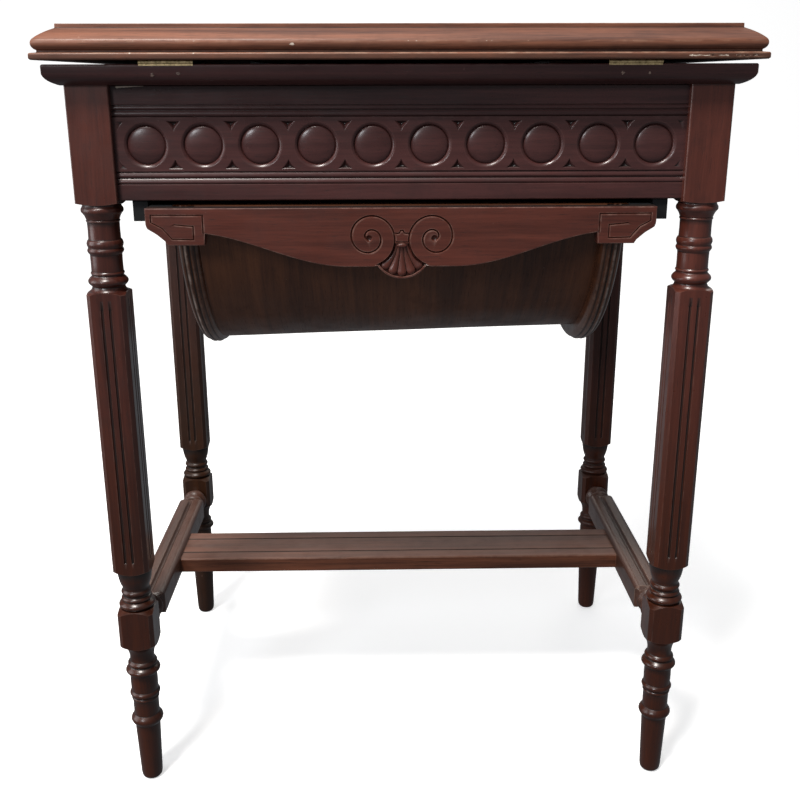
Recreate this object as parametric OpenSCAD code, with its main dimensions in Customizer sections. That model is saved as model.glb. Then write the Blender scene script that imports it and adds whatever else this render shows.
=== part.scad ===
// Sewing table with a lift-up lid, a divided compartment and a half-round bin that slides out.
// The origin is on the floor, midway between the legs. +X is to the right, +Y is to the back, +Z is up.

/* [Legs] */
// Distance between the leg axes across the table
leg_span_x = 521.5; // [515:1:530]
// Distance between the leg axes from front to back
leg_span_y = 345; // [340:1:350]
// Side of the square parts of a leg
leg_w = 35.5; // [34.5:0.5:36.5]
// Height from the floor to the underside of the cornice
leg_h = 688; // [670:1:720]
// Height of the square post at the top of a leg
post_h = 98.4; // [97:0.1:100]
// Side of the chamfered parts of a leg, which are a little smaller than the post
shaft_w = 34.2; // [33:0.1:34.4]
// How much is cut off each side at the corners of those parts
chamfer = 3.6; // [3:0.1:5]
// Radius of the foot on the floor
foot_r = 7.5; // [6:0.5:9]

/* [Frieze] */
// Thickness of the four frieze boards
frieze_t = 18; // [16:1:20]
// Height of the four frieze boards
frieze_h = 94.8; // [94:0.1:96]
// How far the front frieze lies behind the faces of the posts
frieze_inset = 6.3; // [5:0.1:7]
// Number of carved roundels
roundels = 10; // [8:1:10]
// Distance between two roundels
roundel_pitch = 48; // [46:0.5:48.5]
// Radius of a roundel's dome
dome_r = 15.7; // [14:0.1:16]
// Radius of the groove round a dome
groove_r = 18.5; // [17.5:0.1:19]
// Radius of the flat ring round a groove
ring_r = 26.5; // [26:0.1:27]

/* [Cornice and lid] */
// Width of the cornice over its outer edges
cornice_x = 584; // [580:1:588]
// Depth of the cornice over its outer edges
cornice_y = 408; // [405:1:412]
// Width of one cornice board
cornice_w = 54; // [50:1:56]
// Thickness of the cornice
cornice_t = 16.4; // [15:0.1:18]
// Gap between the cornice and the closed lid
lid_gap = 3.2; // [3.2:0.1:4]
// Width of the lid
lid_x = 598; // [596:1:602]
// Depth of the lid
lid_y = 421; // [419:1:423]
// Thickness of the lid
lid_t = 28.4; // [27:0.1:30]

/* [Hinges] */
// Distance from the middle of the table to the middle of a hinge
hinge_x = 191; // [185:1:200]
// Length of a hinge
hinge_len = 44; // [40:1:50]
// Radius of a hinge knuckle
knuckle_r = 1.5; // [1.4:0.05:1.5]
// Radius of a hinge pin
pin_r = 0.7; // [0.6:0.05:0.8]

/* [Bin] */
// Radius of the bin's round sides
bin_r = 186; // [180:1:190]
// Outer radius of the bin's curved sheet in the middle of its length
sheet_r = 175.5; // [172:0.5:176]
// How much lower the sheet has sagged at its left end than in the middle
sheet_sag = 5; // [0:0.5:5]
// Thickness of the curved sheet
sheet_t = 5; // [4:0.5:6]
// Thickness of the bin's sides
side_t = 19; // [17:1:19]
// Distance from the middle of the table to the outer face of a bin side
bin_half = 197.5; // [196:0.5:198]
// Length of the carved apron
apron_x = 436; // [434:1:438]
// Thickness of the carved apron
apron_t = 16; // [14:1:18]
// Number of grooves between the lobes of the apron's shell
shell_grooves = 4; // [2:1:8]

/* [Stretchers] */
// Height of the middle of the side stretchers
stretcher_z = 173; // [171:1:175]
// Width of a side stretcher
stretcher_w = 30; // [28:1:32]
// Height of a side stretcher
stretcher_h = 25; // [23:1:26]
// Width of the middle stretcher
shelf_w = 69; // [60:1:75]
// Thickness of the middle stretcher
shelf_t = 16.5; // [15:0.5:18]

/* [Compartment] */
// Thickness of the compartment's floor
floor_t = 6; // [5:0.5:8]
// Thickness of a divider
divider_t = 6; // [5:0.5:8]
// Height of a divider
divider_h = 60; // [50:1:70]
// Distance from the middle of the table to a short divider
divider_x = 84; // [70:1:110]

/* [Hidden] */
$fn = 48;
leg_x = leg_span_x / 2;
leg_y = leg_span_y / 2;
half_w = leg_w / 2;
half_shaft = shaft_w / 2;
post_z = leg_h - post_h;
shaft_z0 = 238.3;
shaft_z1 = post_z - 76.1;
block_z0 = 156.8;
block_z1 = 198;
inner_x = leg_x - half_w;
inner_y = leg_y - half_w;
block_y = leg_y - half_shaft;

front_y = leg_y + half_w - frieze_inset;
side_out_x = leg_x + half_w - frieze_inset;
side_in_x = side_out_x - frieze_t;
frieze_z = leg_h - frieze_h;
roundel_z = frieze_z + 46.3;
tenon_len = 14;
tenon_t = 8;
side_tenon_len = 12;

cornice_z = leg_h;
cornice_top = cornice_z + cornice_t;
well_x = cornice_x / 2 - cornice_w;
well_y = cornice_y / 2 - cornice_w;
lid_z = cornice_top + lid_gap;
axis_y = -cornice_y / 2;
axis_z = cornice_top + lid_gap / 2;
leaf_t = 1.2;
leaf_d = 13;
knuckle_gap = 0.3;
knuckle_mid = 14.4;
leaf_screws = [-15, 0, 15];

bin_z = frieze_z + 20.8;
bin_top = frieze_z - 4.2;
rail_y0 = 163;
rail_y1 = 185;
rail_h = 14;
side_in = bin_half - side_t;
hanger_w = 19.5;
hanger_h = 6;
hanger_y = 180;
ledge_gap = 0.4;
runner_in = bin_half + 5.5;
runner_wall = runner_in + 16;
runner_out = runner_wall + 13;
runner_h = 17.8;
runner_y = 181;
ledge_h = runner_h - (frieze_z - bin_top) - hanger_h - ledge_gap;
apron_y = rail_y1;
apron_top = bin_top - 0.5;
apron_half = apron_x / 2;
volute_x = 28.5;
volute_z = apron_top - 25.5;
shell_z = apron_top - 36.5;
shell_r = 24.5;
shelf_half = leg_x - stretcher_w / 2;
stretcher_sq = 125;
shelf_z = stretcher_z - 10.5;
floor_z = frieze_z;
divider_y = 20;
batten_x = 150;
batten_w = 40;
batten_h = 11;
batten_y = 140;
screw_r = 1.6;

mahogany = [0.30, 0.13, 0.10];
lid_brown = [0.42, 0.20, 0.15];
bin_brown = [0.24, 0.14, 0.10];
near_black = [0.07, 0.06, 0.06];
pine = [0.72, 0.56, 0.38];
brass = [0.72, 0.58, 0.30];
steel = [0.55, 0.55, 0.57];

// ---------- outlines ----------

// Points [r, z] of a round bead from z0 to z1 that swells by `bulge` from radius r.
// A negative bulge gives a cove.
function bead(z0, z1, r, bulge, n = 6) =
    [for (i = [0:n]) [r + bulge * sin(180 * i / n), z0 + (z1 - z0) * i / n]];

// Points of a quarter ellipse from angle a0 to a1 about [cx, cy].
function arc(cx, cy, rx, ry, a0, a1, n = 8) =
    [for (i = [0:n]) let (a = a0 + (a1 - a0) * i / n) [cx + rx * cos(a), cy + ry * sin(a)]];

// Points of a curve from a to c that bends towards b.
function curve(a, b, c, n = 6) =
    [for (i = [0:n]) let (t = i / n) (1 - t) * (1 - t) * a + 2 * t * (1 - t) * b + t * t * c];

function mirrored(points) = [for (i = [len(points) - 1:-1:0]) [-points[i][0], points[i][1]]];

// Turning between the floor and the block that takes the stretchers.
lower_turning = concat(
    [[0, 0], [foot_r, 0], [10.4, 4.5], [12.4, 64]],
    bead(65.6, 77.4, 12.5, 3.4),
    [[12.6, 78.4], [12.6, 93.6]],
    bead(94.2, 97.6, 12.8, 0.8, 4),
    bead(98.4, 104.6, 13.1, 1.8, 4),
    [[13.2, 105.2], [13.4, 123]],
    bead(123.8, 132.6, 13.4, 3.5),
    bead(133.2, 138.4, 13, 1.4, 4),
    [[12.2, 139]],
    curve([11.9, 140.8], [11.6, 151], [16.9, block_z0], 5),
    [[16.9, block_z0 + 1], [0, block_z0 + 1]]
);

// Turning between that block and the fluted shaft.
middle_turning = concat(
    [[0, block_z1 - 1], [15, block_z1 - 1], [15, block_z1 + 0.3]],
    bead(block_z1 + 0.5, 206.2, 14.2, 3.2),
    bead(206.5, 210.7, 13.4, 1.3, 4),
    [[12.5, 211.1], [12.5, 212.7]],
    bead(212.9, 218.3, 12.7, 1.6),
    [[12.6, 218.9], [12.7, 220.6]],
    curve([13.2, 221.8], [15, 226.2], [15.6, 230]),
    [[16.9, shaft_z0], [16.9, shaft_z0 + 1], [0, shaft_z0 + 1]]
);

// Turning between the fluted shaft and the post; heights are measured from the shaft's top.
upper_turning = concat(
    [[0, -1], [16.9, -1]],
    curve([16.9, 0], [15.1, 1.2], [14.4, 3.6], 4),
    bead(4.2, 13.4, 14.2, 3.3),
    bead(14.4, 17.6, 13.8, 0.9, 4),
    [[13.9, 18.2], [13.9, 32.5], [14.6, 33.4]],
    bead(33.8, 38.2, 15, 0.8, 4),
    bead(38.8, 45, 15, 0.8),
    [[14, 45.6], [14, 60.6]],
    bead(60.8, 62.8, 14, 0.5, 4),
    [[14.4, 63.2]],
    curve([14.6, 63.4], [15.3, 66.6], [17.4, 69]),
    arc(17.2, 71.2, 1, 2.2, -50, 75, 5),
    [[16.6, 75], [16.6, 77.1], [0, 77.1]]
);

// ---------- legs ----------

module chamfered_square(side, chamfer) {
    h = side / 2;
    c = h - chamfer;
    polygon([[-c, -h], [c, -h], [h, -c], [h, c], [c, h], [-c, h], [-h, c], [-h, -c]]);
}

// A chamfered part of the leg. Its ends are turned away, so the corners run out in curves.
module square_part(z0, z1) {
    intersection() {
        translate([0, 0, z0])
            linear_extrude(z1 - z0)
                chamfered_square(shaft_w, chamfer);
        shoulders(z0, z1, 17, 5.6);
    }
}

module shoulders(z0, z1, r_end, run) {
    rotate_extrude()
        polygon([[0, z0], [r_end, z0], [half_w * 1.42, z0 + run], [half_w * 1.42, z1 - run],
                 [r_end, z1], [0, z1]]);
}

module fluted_shaft() {
    flute_r = 1.2;
    flute_z0 = shaft_z0 + 12.5;
    flute_len = shaft_z1 - 14 - flute_z0;
    difference() {
        square_part(shaft_z0, shaft_z1);
        for (a = [0:90:270])
            rotate([0, 0, a])
                for (x = [-3.5, 3.5])
                    translate([x, -half_shaft - 0.1, flute_z0])
                        cylinder(h = flute_len, r = flute_r, $fn = 24);
    }
}

// The square post; its lower end is turned off a little at the corners.
module post() {
    intersection() {
        translate([-half_w, -half_w, post_z])
            cube([leg_w, leg_w, post_h]);
        rotate_extrude()
            polygon([[0, post_z], [17.2, post_z], [half_w * 1.42, post_z + 2.1],
                     [half_w * 1.42, leg_h], [0, leg_h]]);
    }
}

module leg_blank() {
    rotate_extrude()
        polygon(lower_turning);
    square_part(block_z0, block_z1);
    rotate_extrude()
        polygon(middle_turning);
    fluted_shaft();
    translate([0, 0, shaft_z1])
        rotate_extrude()
            polygon(upper_turning);
    post();
}

// sx and sy are -1 or 1: left or right, front or back.
module leg(sx, sy) {
    color(mahogany)
        difference() {
            translate([sx * leg_x, sy * leg_y, 0])
                leg_blank();
            front_tenon(sx, sy);
            side_tenon(sx, sy);
            stretcher_tenon(sx, sy);
        }
}

// ---------- friezes ----------

module front_tenon(sx, sy) {
    x = sx > 0 ? inner_x : -inner_x - tenon_len;
    y = sy * (front_y - frieze_t / 2) - tenon_t / 2;
    translate([x, y, frieze_z + 7])
        cube([tenon_len, tenon_t, frieze_h - 18]);
}

module side_tenon(sx, sy) {
    x = sx * (side_out_x - frieze_t / 2) - tenon_t / 2;
    y = sy > 0 ? inner_y : -inner_y - side_tenon_len;
    translate([x, y, frieze_z + 7])
        cube([tenon_t, side_tenon_len, frieze_h - 18]);
}

// Section [distance out from the inner face, z] of a frieze with its beads.
function frieze_section(t) = concat(
    [[0, 0], [t, 0], [t, 13.7]],
    set_back(bead(13.9, 18.3, t - 0.6, 1.4, 4)),
    set_back(bead(18.7, 24.3, t - 0.6, 1.8, 4)),
    [[t, 24.7], [t, 69.1]],
    set_back(bead(69.5, 74.7, t - 0.6, 1.8, 4)),
    set_back(bead(75.1, 78.9, t - 0.6, 1.4, 4)),
    [[t, 79.3], [t, frieze_h], [0, frieze_h]]
);

// Beads stay level with the face, so their points are set back by this much.
function set_back(points) = [for (p = points) [p[0] - 0.8, p[1]]];

// A board along X whose outer face looks towards -Y at distance `out` from the middle.
module frieze_board(half_len, out) {
    translate([-half_len, -out + frieze_t, frieze_z])
        rotate([90, 0, 90])
            linear_extrude(2 * half_len)
                polygon([for (p = frieze_section(frieze_t)) [-p[0], p[1]]]);
}

// The space cut away between a dome and its ring, with the mouth at z = 0.
module roundel_groove() {
    depth = 2.8;
    rotate_extrude()
        polygon(concat(
            [[0, 1], [0, -0.3]],
            arc(0, -depth - 0.2, dome_r, depth - 0.1, 84, 6, 7),
            [[dome_r + 0.6, -depth], [groove_r, 0], [groove_r, 1]]));
}

// The two sunk triangles between a pair of rings.
module spandrels() {
    depth = 3;
    difference() {
        for (z = [-20, 11])
            translate([-roundel_pitch / 2 + 10, z, -depth])
                cube([roundel_pitch - 20, 9, depth + 1]);
        for (x = [-roundel_pitch / 2, roundel_pitch / 2])
            translate([x, 0, -depth - 1])
                cylinder(h = depth + 3, r = ring_r, $fn = 64);
    }
}

module frieze_front() {
    first = -(roundels - 1) / 2 * roundel_pitch;
    color(mahogany)
        union() {
            difference() {
                frieze_board(inner_x, front_y);
                runner_screw_set(-1);
                runner_screw_set(1);
                translate([0, -front_y, roundel_z])
                    rotate([90, 0, 0]) {
                        for (i = [0:roundels - 1])
                            translate([first + i * roundel_pitch, 0, 0])
                                roundel_groove();
                        for (i = [0:roundels - 2])
                            translate([first + (i + 0.5) * roundel_pitch, 0, 0])
                                spandrels();
                    }
            }
            for (sx = [-1, 1])
                front_tenon(sx, -1);
        }
}

module frieze_back() {
    color(mahogany)
        difference() {
            union() {
                mirror([0, 1, 0])
                    frieze_board(inner_x, front_y);
                for (sx = [-1, 1])
                    front_tenon(sx, 1);
            }
            runner_screw_set(-1);
            runner_screw_set(1);
        }
}

module frieze_side(sx) {
    color(mahogany)
        union() {
            rotate([0, 0, sx * 90])
                frieze_board(inner_y, side_out_x);
            for (sy = [-1, 1])
                side_tenon(sx, sy);
        }
}

// ---------- cornice ----------

// Half section [distance from the middle, z] with a round moulding under the edge.
function cornice_half(half) = concat(
    curve([half - 11, 0], [half - 1.5, 3.2], [half, 9]),
    [[half, cornice_t - 1.2], [half - 1.2, cornice_t]]
);

module moulded_slab(half_x, half_y, section_x, section_y) {
    intersection() {
        translate([0, half_y + 1, 0])
            rotate([90, 0, 0])
                linear_extrude(2 * half_y + 2)
                    polygon(concat(section_x, mirrored(section_x)));
        translate([-half_x - 1, 0, 0])
            rotate([90, 0, 90])
                linear_extrude(2 * half_x + 2)
                    polygon(concat(section_y, mirrored(section_y)));
    }
}

module cornice_frame() {
    translate([0, 0, cornice_z])
        difference() {
            moulded_slab(cornice_x / 2, cornice_y / 2, cornice_half(cornice_x / 2),
                         cornice_half(cornice_y / 2));
            translate([-well_x, -well_y, -1])
                cube([2 * well_x, 2 * well_y, cornice_t + 2]);
        }
}

// One of the four mitred boards: a wedge of the frame between two mitre lines.
module cornice_board(half_len, out, turn) {
    in = out - cornice_w;
    far = out + 1;
    color(mahogany)
        intersection() {
            cornice_frame();
            rotate([0, 0, turn])
                translate([0, 0, cornice_z - 1])
                    linear_extrude(cornice_t + 2)
                        polygon([[-half_len - 1, -far], [half_len + 1, -far],
                                 [half_len - cornice_w, -in], [-half_len + cornice_w, -in]]);
        }
}

// The front board is let in for the lower leaves of the hinges.
module cornice_front() {
    color(mahogany)
        difference() {
            cornice_board(cornice_x / 2, cornice_y / 2, 0);
            for (sx = [-1, 1]) {
                leaf_plate(sx, -1);
                leaf_screw_set(sx, -1);
            }
        }
}

module glue_blocks() {
    places = [[-130, -1], [130, -1], [-130, 1], [130, 1]];
    size = 15;
    color(pine) {
        for (p = places)
            translate([p[0] - 20, p[1] * (front_y - frieze_t), cornice_z])
                rotate([90, 0, 90])
                    linear_extrude(40)
                        polygon([[0, 0], [-p[1] * size, 0], [0, -size]]);
        for (sx = [-1, 1])
            translate([sx * side_in_x, 20, cornice_z])
                rotate([90, 0, 0])
                    linear_extrude(40)
                        polygon([[0, 0], [-sx * size, 0], [0, -size]]);
    }
}

// ---------- compartment ----------

module compartment_floor() {
    color(pine)
        difference() {
            translate([-side_in_x, -front_y + frieze_t, floor_z])
                cube([2 * side_in_x, 2 * (front_y - frieze_t), floor_t]);
            for (sx = [-1, 1])
                for (sy = [-1, 1])
                    translate([sx * leg_x - half_w, sy * leg_y - half_w, floor_z - 1])
                        cube([leg_w, leg_w, floor_t + 2]);
        }
}

module divider_long() {
    color(pine)
        translate([-side_in_x, divider_y - divider_t / 2, floor_z + floor_t])
            cube([2 * side_in_x, divider_t, divider_h]);
}

module divider_short(sx) {
    y0 = -front_y + frieze_t;
    color(pine)
        translate([sx * divider_x - divider_t / 2, y0, floor_z + floor_t])
            cube([divider_t, divider_y - divider_t / 2 - y0, divider_h]);
}

// ---------- runners ----------

// A runner is a ledge and a wall, closed at the back so that the bin stops there.
module runner(sx) {
    x0 = sx > 0 ? runner_in : -runner_out;
    channel_x = sx > 0 ? runner_in - 1 : -runner_wall;
    color(near_black)
        difference() {
            translate([x0, -runner_y, frieze_z - runner_h])
                cube([runner_out - runner_in, 2 * runner_y + 3, runner_h]);
            translate([channel_x, -runner_y - 1, frieze_z - runner_h + ledge_h])
                cube([runner_wall - runner_in + 1, runner_y + hanger_y + 1.5, runner_h]);
            runner_screw_set(sx);
        }
}

// A countersunk wood screw: head at the origin, point towards +Z.
module wood_screw(length, head_r, shank_r = screw_r) {
    rotate_extrude($fn = 32)
        polygon([[0, 0], [head_r, 0], [shank_r, head_r - shank_r], [shank_r, length - 2.5],
                 [0.3, length], [0, length]]);
}

module runner_screw_set(sx) {
    for (sy = [-1, 1])
        translate([sx * (runner_wall + 6), sy * (front_y - frieze_t / 2), frieze_z - runner_h])
            wood_screw(28, 3.6);
}

module runner_screws() {
    color(steel)
        for (sx = [-1, 1])
            runner_screw_set(sx);
}

// ---------- stretchers ----------

module stretcher_tenon(sx, sy) {
    translate([sx * leg_x, sy * (block_y - 1), stretcher_z])
        rotate([-sy * 90, 0, 0])
            cylinder(h = 13, r = 8);
}

// Half section of a side stretcher: a V groove runs along the top between two rounded strips.
stretcher_half = concat(
    [[stretcher_w / 2, 0]],
    arc(stretcher_w / 4 + 0.5, stretcher_h - 5, stretcher_w / 4 - 0.5, 5, 0, 90, 6),
    [[2.2, stretcher_h]]
);

module side_stretcher(sx) {
    collar = concat(
        [[0, 0], [12.4, 0]],
        bead(1, 9, 12, 2.4),
        bead(10, 15, 11.2, -1.4, 4),
        bead(16, 24, 12, 2.4),
        [[12, 25], [11, block_y - stretcher_sq], [0, block_y - stretcher_sq]]);
    color(mahogany)
        difference() {
            union() {
                translate([sx * leg_x, stretcher_sq, stretcher_z - stretcher_h / 2])
                    rotate([90, 0, 0])
                        linear_extrude(2 * stretcher_sq)
                            polygon(concat(stretcher_half, [[0, stretcher_h - 2.6]],
                                           mirrored(stretcher_half)));
                for (sy = [-1, 1]) {
                    translate([sx * leg_x, sy * stretcher_sq, stretcher_z])
                        rotate([-sy * 90, 0, 0])
                            rotate_extrude()
                                polygon(collar);
                    stretcher_tenon(sx, sy);
                }
            }
            shelf_tenon(sx);
        }
}

module shelf_tenon(sx) {
    len = 11;
    x = sx > 0 ? shelf_half : -shelf_half - len;
    translate([x, -shelf_w / 2 + 10, shelf_z + 4])
        cube([len, shelf_w - 20, shelf_t - 8]);
}

module centre_stretcher() {
    edge = 1.2;
    half = shelf_w / 2;
    half_outline = [[half - edge, 0], [half, edge], [half, shelf_t - edge], [half - edge, shelf_t]];
    color(mahogany)
        union() {
            difference() {
                translate([-shelf_half, 0, shelf_z])
                    rotate([90, 0, 90])
                        linear_extrude(2 * shelf_half)
                            polygon(concat(half_outline, mirrored(half_outline)));
                for (sy = [-1, 1])
                    translate([-shelf_half - 1, sy * half / 2 - 0.5, shelf_z + shelf_t - 0.8])
                        cube([2 * shelf_half + 2, 1, 2]);
            }
            for (sx = [-1, 1])
                shelf_tenon(sx);
        }
}

// ---------- hinges ----------

// side is -1 for the leaf let into the cornice and 1 for the leaf let into the lid.
module leaf_plate(sx, side) {
    z = side < 0 ? cornice_top - leaf_t : lid_z;
    translate([sx * hinge_x - hinge_len / 2, axis_y, z])
        cube([hinge_len, leaf_d, leaf_t]);
}

module leaf_screw_set(sx, side) {
    face = axis_z + side * lid_gap / 2;
    for (x = leaf_screws)
        translate([sx * hinge_x + x, axis_y + leaf_d * (x == 0 ? 0.68 : 0.45), face])
            rotate([side < 0 ? 180 : 0, 0, 0])
                wood_screw(11, 2.6, 1.2);
}

module knuckle(x0, x1, bore_r) {
    translate([x0, axis_y, axis_z])
        rotate([0, 90, 0])
            difference() {
                cylinder(h = x1 - x0, r = knuckle_r, $fn = 32);
                translate([0, 0, -1])
                    cylinder(h = x1 - x0 + 2, r = bore_r, $fn = 32);
            }
}

// The web joins a knuckle to its leaf, on the far side of the pin.
module web(x0, x1, side) {
    z0 = side < 0 ? axis_z - lid_gap / 2 - leaf_t : axis_z + pin_r + 0.25;
    z1 = side < 0 ? axis_z - pin_r - 0.25 : axis_z + lid_gap / 2 + leaf_t;
    translate([x0, axis_y, z0])
        cube([x1 - x0, 1.3, z1 - z0]);
}

module hinge_lower_leaf(sx) {
    x = sx * hinge_x;
    end = hinge_len / 2;
    mid = knuckle_mid / 2 + knuckle_gap;
    color(brass)
        difference() {
            union() {
                leaf_plate(sx, -1);
                for (span = [[x - end, x - mid], [x + mid, x + end]]) {
                    knuckle(span[0], span[1], pin_r);
                    web(span[0], span[1], -1);
                }
            }
            leaf_screw_set(sx, -1);
        }
}

module hinge_upper_leaf(sx) {
    x = sx * hinge_x;
    mid = knuckle_mid / 2;
    color(brass)
        difference() {
            union() {
                leaf_plate(sx, 1);
                knuckle(x - mid, x + mid, pin_r + 0.05);
                web(x - mid, x + mid, 1);
            }
            leaf_screw_set(sx, 1);
        }
}

module hinge_pin(sx) {
    color(brass)
        translate([sx * hinge_x - hinge_len / 2, axis_y, axis_z])
            rotate([0, 90, 0])
                cylinder(h = hinge_len, r = pin_r, $fn = 32);
}

module hinge_lower_screws() {
    color(steel)
        for (sx = [-1, 1])
            leaf_screw_set(sx, -1);
}

module hinge_upper_screws() {
    color(steel)
        for (sx = [-1, 1])
            leaf_screw_set(sx, 1);
}

// ---------- lid ----------

// Half section [distance from the middle, z]: fillet, undercut, nose, sloping mould, step and top.
function lid_half(half) = concat(
    [[half - 0.8, 0], [half, 0.8], [half, 4.6], [half - 0.8, 5.4], [half - 5.4, 5.9]],
    arc(half - 7.2, 12.6, 5.3, 5.3, -70, 50, 8),
    curve([half - 4.2, 16.9], [half - 9, 21.2], [half - 17.6, 24.8]),
    [[half - 18, lid_t - 0.6], [half - 18.6, lid_t]]
);

module lid() {
    color(lid_brown)
        difference() {
            translate([0, 0, lid_z])
                moulded_slab(lid_x / 2, lid_y / 2, lid_half(lid_x / 2), lid_half(lid_y / 2));
            for (sx = [-1, 1]) {
                leaf_plate(sx, 1);
                leaf_screw_set(sx, 1);
                batten_screw_set(sx);
            }
        }
}

module batten_screw_set(sx) {
    for (y = [-110, 0, 110])
        translate([sx * batten_x, y, lid_z - batten_h])
            wood_screw(24, 3.6);
}

module lid_batten(sx) {
    color(lid_brown)
        difference() {
            translate([sx * batten_x - batten_w / 2, -batten_y, lid_z - batten_h])
                cube([batten_w, 2 * batten_y, batten_h]);
            batten_screw_set(sx);
        }
}

module lid_batten_screws() {
    color(steel)
        for (sx = [-1, 1])
            batten_screw_set(sx);
}

// ---------- bin ----------

module below_bin_top(length) {
    translate([-length, -bin_r - 5, bin_top - 2 * bin_r])
        cube([2 * length, 2 * bin_r + 10, 2 * bin_r]);
}

// Section [r, distance from the inner face] of a bin side: four reeds run round its edge.
function reeded_side() =
    let (reeds = 4, pitch = side_t / reeds)
    concat([[0, 0]],
           [for (k = [0:reeds - 1]) each bead(k * pitch, (k + 1) * pitch, bin_r - 1.8, 1.8, 6)],
           [[0, side_t]]);

module bin_side(sx) {
    color(bin_brown)
        difference() {
            intersection() {
                translate([sx * side_in, 0, bin_z])
                    rotate([0, sx * 90, 0])
                        rotate_extrude($fn = 128)
                            polygon(reeded_side());
                below_bin_top(bin_half + 5);
            }
            bin_sheet();
            side_screw_set(sx);
            hanger_screw_set(sx);
        }
}

// The curved sheet runs from rail to rail, and its ends sit in a groove in each side.
// Its left end has sagged and its right end has drawn in, so it is part of a cone.
module bin_sheet() {
    half_len = side_in + 4;
    left_r = sheet_r + sheet_sag;
    right_r = sheet_r - sheet_sag;
    color(bin_brown)
        intersection() {
            translate([-half_len, 0, bin_z])
                rotate([0, 90, 0])
                    difference() {
                        cylinder(h = 2 * half_len, r1 = left_r, r2 = right_r, $fn = 128);
                        cylinder(h = 2 * half_len, r1 = left_r - sheet_t, r2 = right_r - sheet_t,
                                 $fn = 128);
                    }
            translate([-bin_half, -bin_r, bin_top - rail_h - 2 * bin_r])
                cube([2 * bin_half, 2 * bin_r, 2 * bin_r]);
        }
}

module bin_rail(sy) {
    y0 = sy > 0 ? rail_y0 : -rail_y1;
    color(bin_brown)
        difference() {
            translate([-side_in, y0, bin_top - rail_h])
                cube([2 * side_in, rail_y1 - rail_y0, rail_h]);
            for (sx = [-1, 1])
                side_screw_set(sx);
            if (sy < 0)
                apron_screw_set();
        }
}

module bin_hanger(sx) {
    x0 = sx > 0 ? bin_half : -bin_half - hanger_w;
    color(near_black)
        difference() {
            translate([x0, -rail_y1, bin_top - hanger_h])
                cube([hanger_w, rail_y1 + hanger_y, hanger_h]);
            hanger_screw_set(sx);
        }
}

module side_screw_set(sx) {
    for (y = [-174, 174])
        translate([sx * bin_half, y, bin_top - rail_h + 3.8])
            rotate([0, -sx * 90, 0])
                wood_screw(40, 3);
}

module hanger_screw_set(sx) {
    for (y = [-120, 0, 120])
        translate([sx * (bin_half + hanger_w), y, bin_top - hanger_h / 2])
            rotate([0, -sx * 90, 0])
                wood_screw(34, 2.6, 1.2);
}

module apron_screw_set() {
    for (x = [-140, -50, 50, 140])
        translate([x, -rail_y0, bin_top - rail_h / 2])
            rotate([90, 0, 0])
                wood_screw(32, 3.2);
}

module bin_apron_screws() {
    color(steel)
        apron_screw_set();
}

module bin_side_screws() {
    color(steel)
        for (sx = [-1, 1])
            side_screw_set(sx);
}

module bin_hanger_screws() {
    color(steel)
        for (sx = [-1, 1])
            hanger_screw_set(sx);
}

// Right half of the apron's outline, from the middle of the shell out to the top corner.
function apron_half_outline() =
    let (bracket_in = apron_half - 49.5, bracket_out = apron_half - 18, bracket_z = apron_top - 31.3,
         wave_x0 = 45, wave_x1 = 185, wave_low = apron_top - 50.5, wave_rise = 30)
    concat(
        arc(0, shell_z, shell_r, shell_r, -90, -28, 7),
        [for (i = [0:12])
            let (x = 24 + (bracket_in - 24) * i / 12,
                 t = max(0, (x - wave_x0) / (wave_x1 - wave_x0)))
            [x, wave_low + wave_rise * (1 - cos(180 * t)) / 2]],
        [[bracket_in, bracket_z], [bracket_out, bracket_z]],
        [[bracket_out + 3.5, bracket_z + 4], [bracket_out + 9.5, bracket_z + 9.8]],
        arc(apron_half - 6, bracket_z + 18.5, 6, 7, -55, 0, 4),
        [[apron_half, apron_top - 1], [apron_half - 1, apron_top]]);

// A sunk line of one width along a list of points.
module sunk_line(points, width = 1) {
    for (i = [0:len(points) - 2]) {
        step = points[i + 1] - points[i];
        translate(points[i])
            rotate(atan2(step[1], step[0]))
                translate([-width / 2, -width / 2])
                    square([norm(step) + width, width]);
    }
}

// The key line on the bracket at an end of the apron turns inwards like a meander.
module bracket_line() {
    x0 = apron_half - 49.2;
    translate([x0, apron_top])
        sunk_line([[0, -17], [0, -5.7], [43.7, -5.7], [43.7, -11.8], [34.8, -16.6], [27, -25.8],
                   [8.4, -25.8], [8.4, -14.8], [23, -13.8]]);
}

// Points of a volute's spiral about its eye, from the shell's tip inwards.
function spiral(width) =
    [for (turn = [-60:12:600])
        let (r = 24 - 0.0335 * (turn + 72) + width)
        [r * cos(turn), r * sin(turn)]];

module volute_line() {
    outer = spiral(0.5);
    inner = spiral(-0.5);
    polygon(concat(outer, [for (i = [len(inner) - 1:-1:0]) inner[i]]));
    circle(2, $fn = 24);
}

module apron_carving() {
    for (sx = [-1, 1]) {
        mirror([sx < 0 ? 1 : 0, 0, 0])
            bracket_line();
        mirror([sx > 0 ? 1 : 0, 0, 0])
            translate([-volute_x, volute_z])
                volute_line();
    }
    for (z = [volute_z - 3.5, volute_z + 3.5])
        translate([-7, z - 0.5])
            square([14, 1]);
    for (i = [0:shell_grooves - 1]) {
        a = -90 + (i - (shell_grooves - 1) / 2) * 96 / shell_grooves;
        translate([0, shell_z + 3])
            rotate(a)
                polygon([[7, -0.5], [shell_r + 1, -1.3], [shell_r + 1, 1.3], [7, 0.5]]);
    }
}

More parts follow.
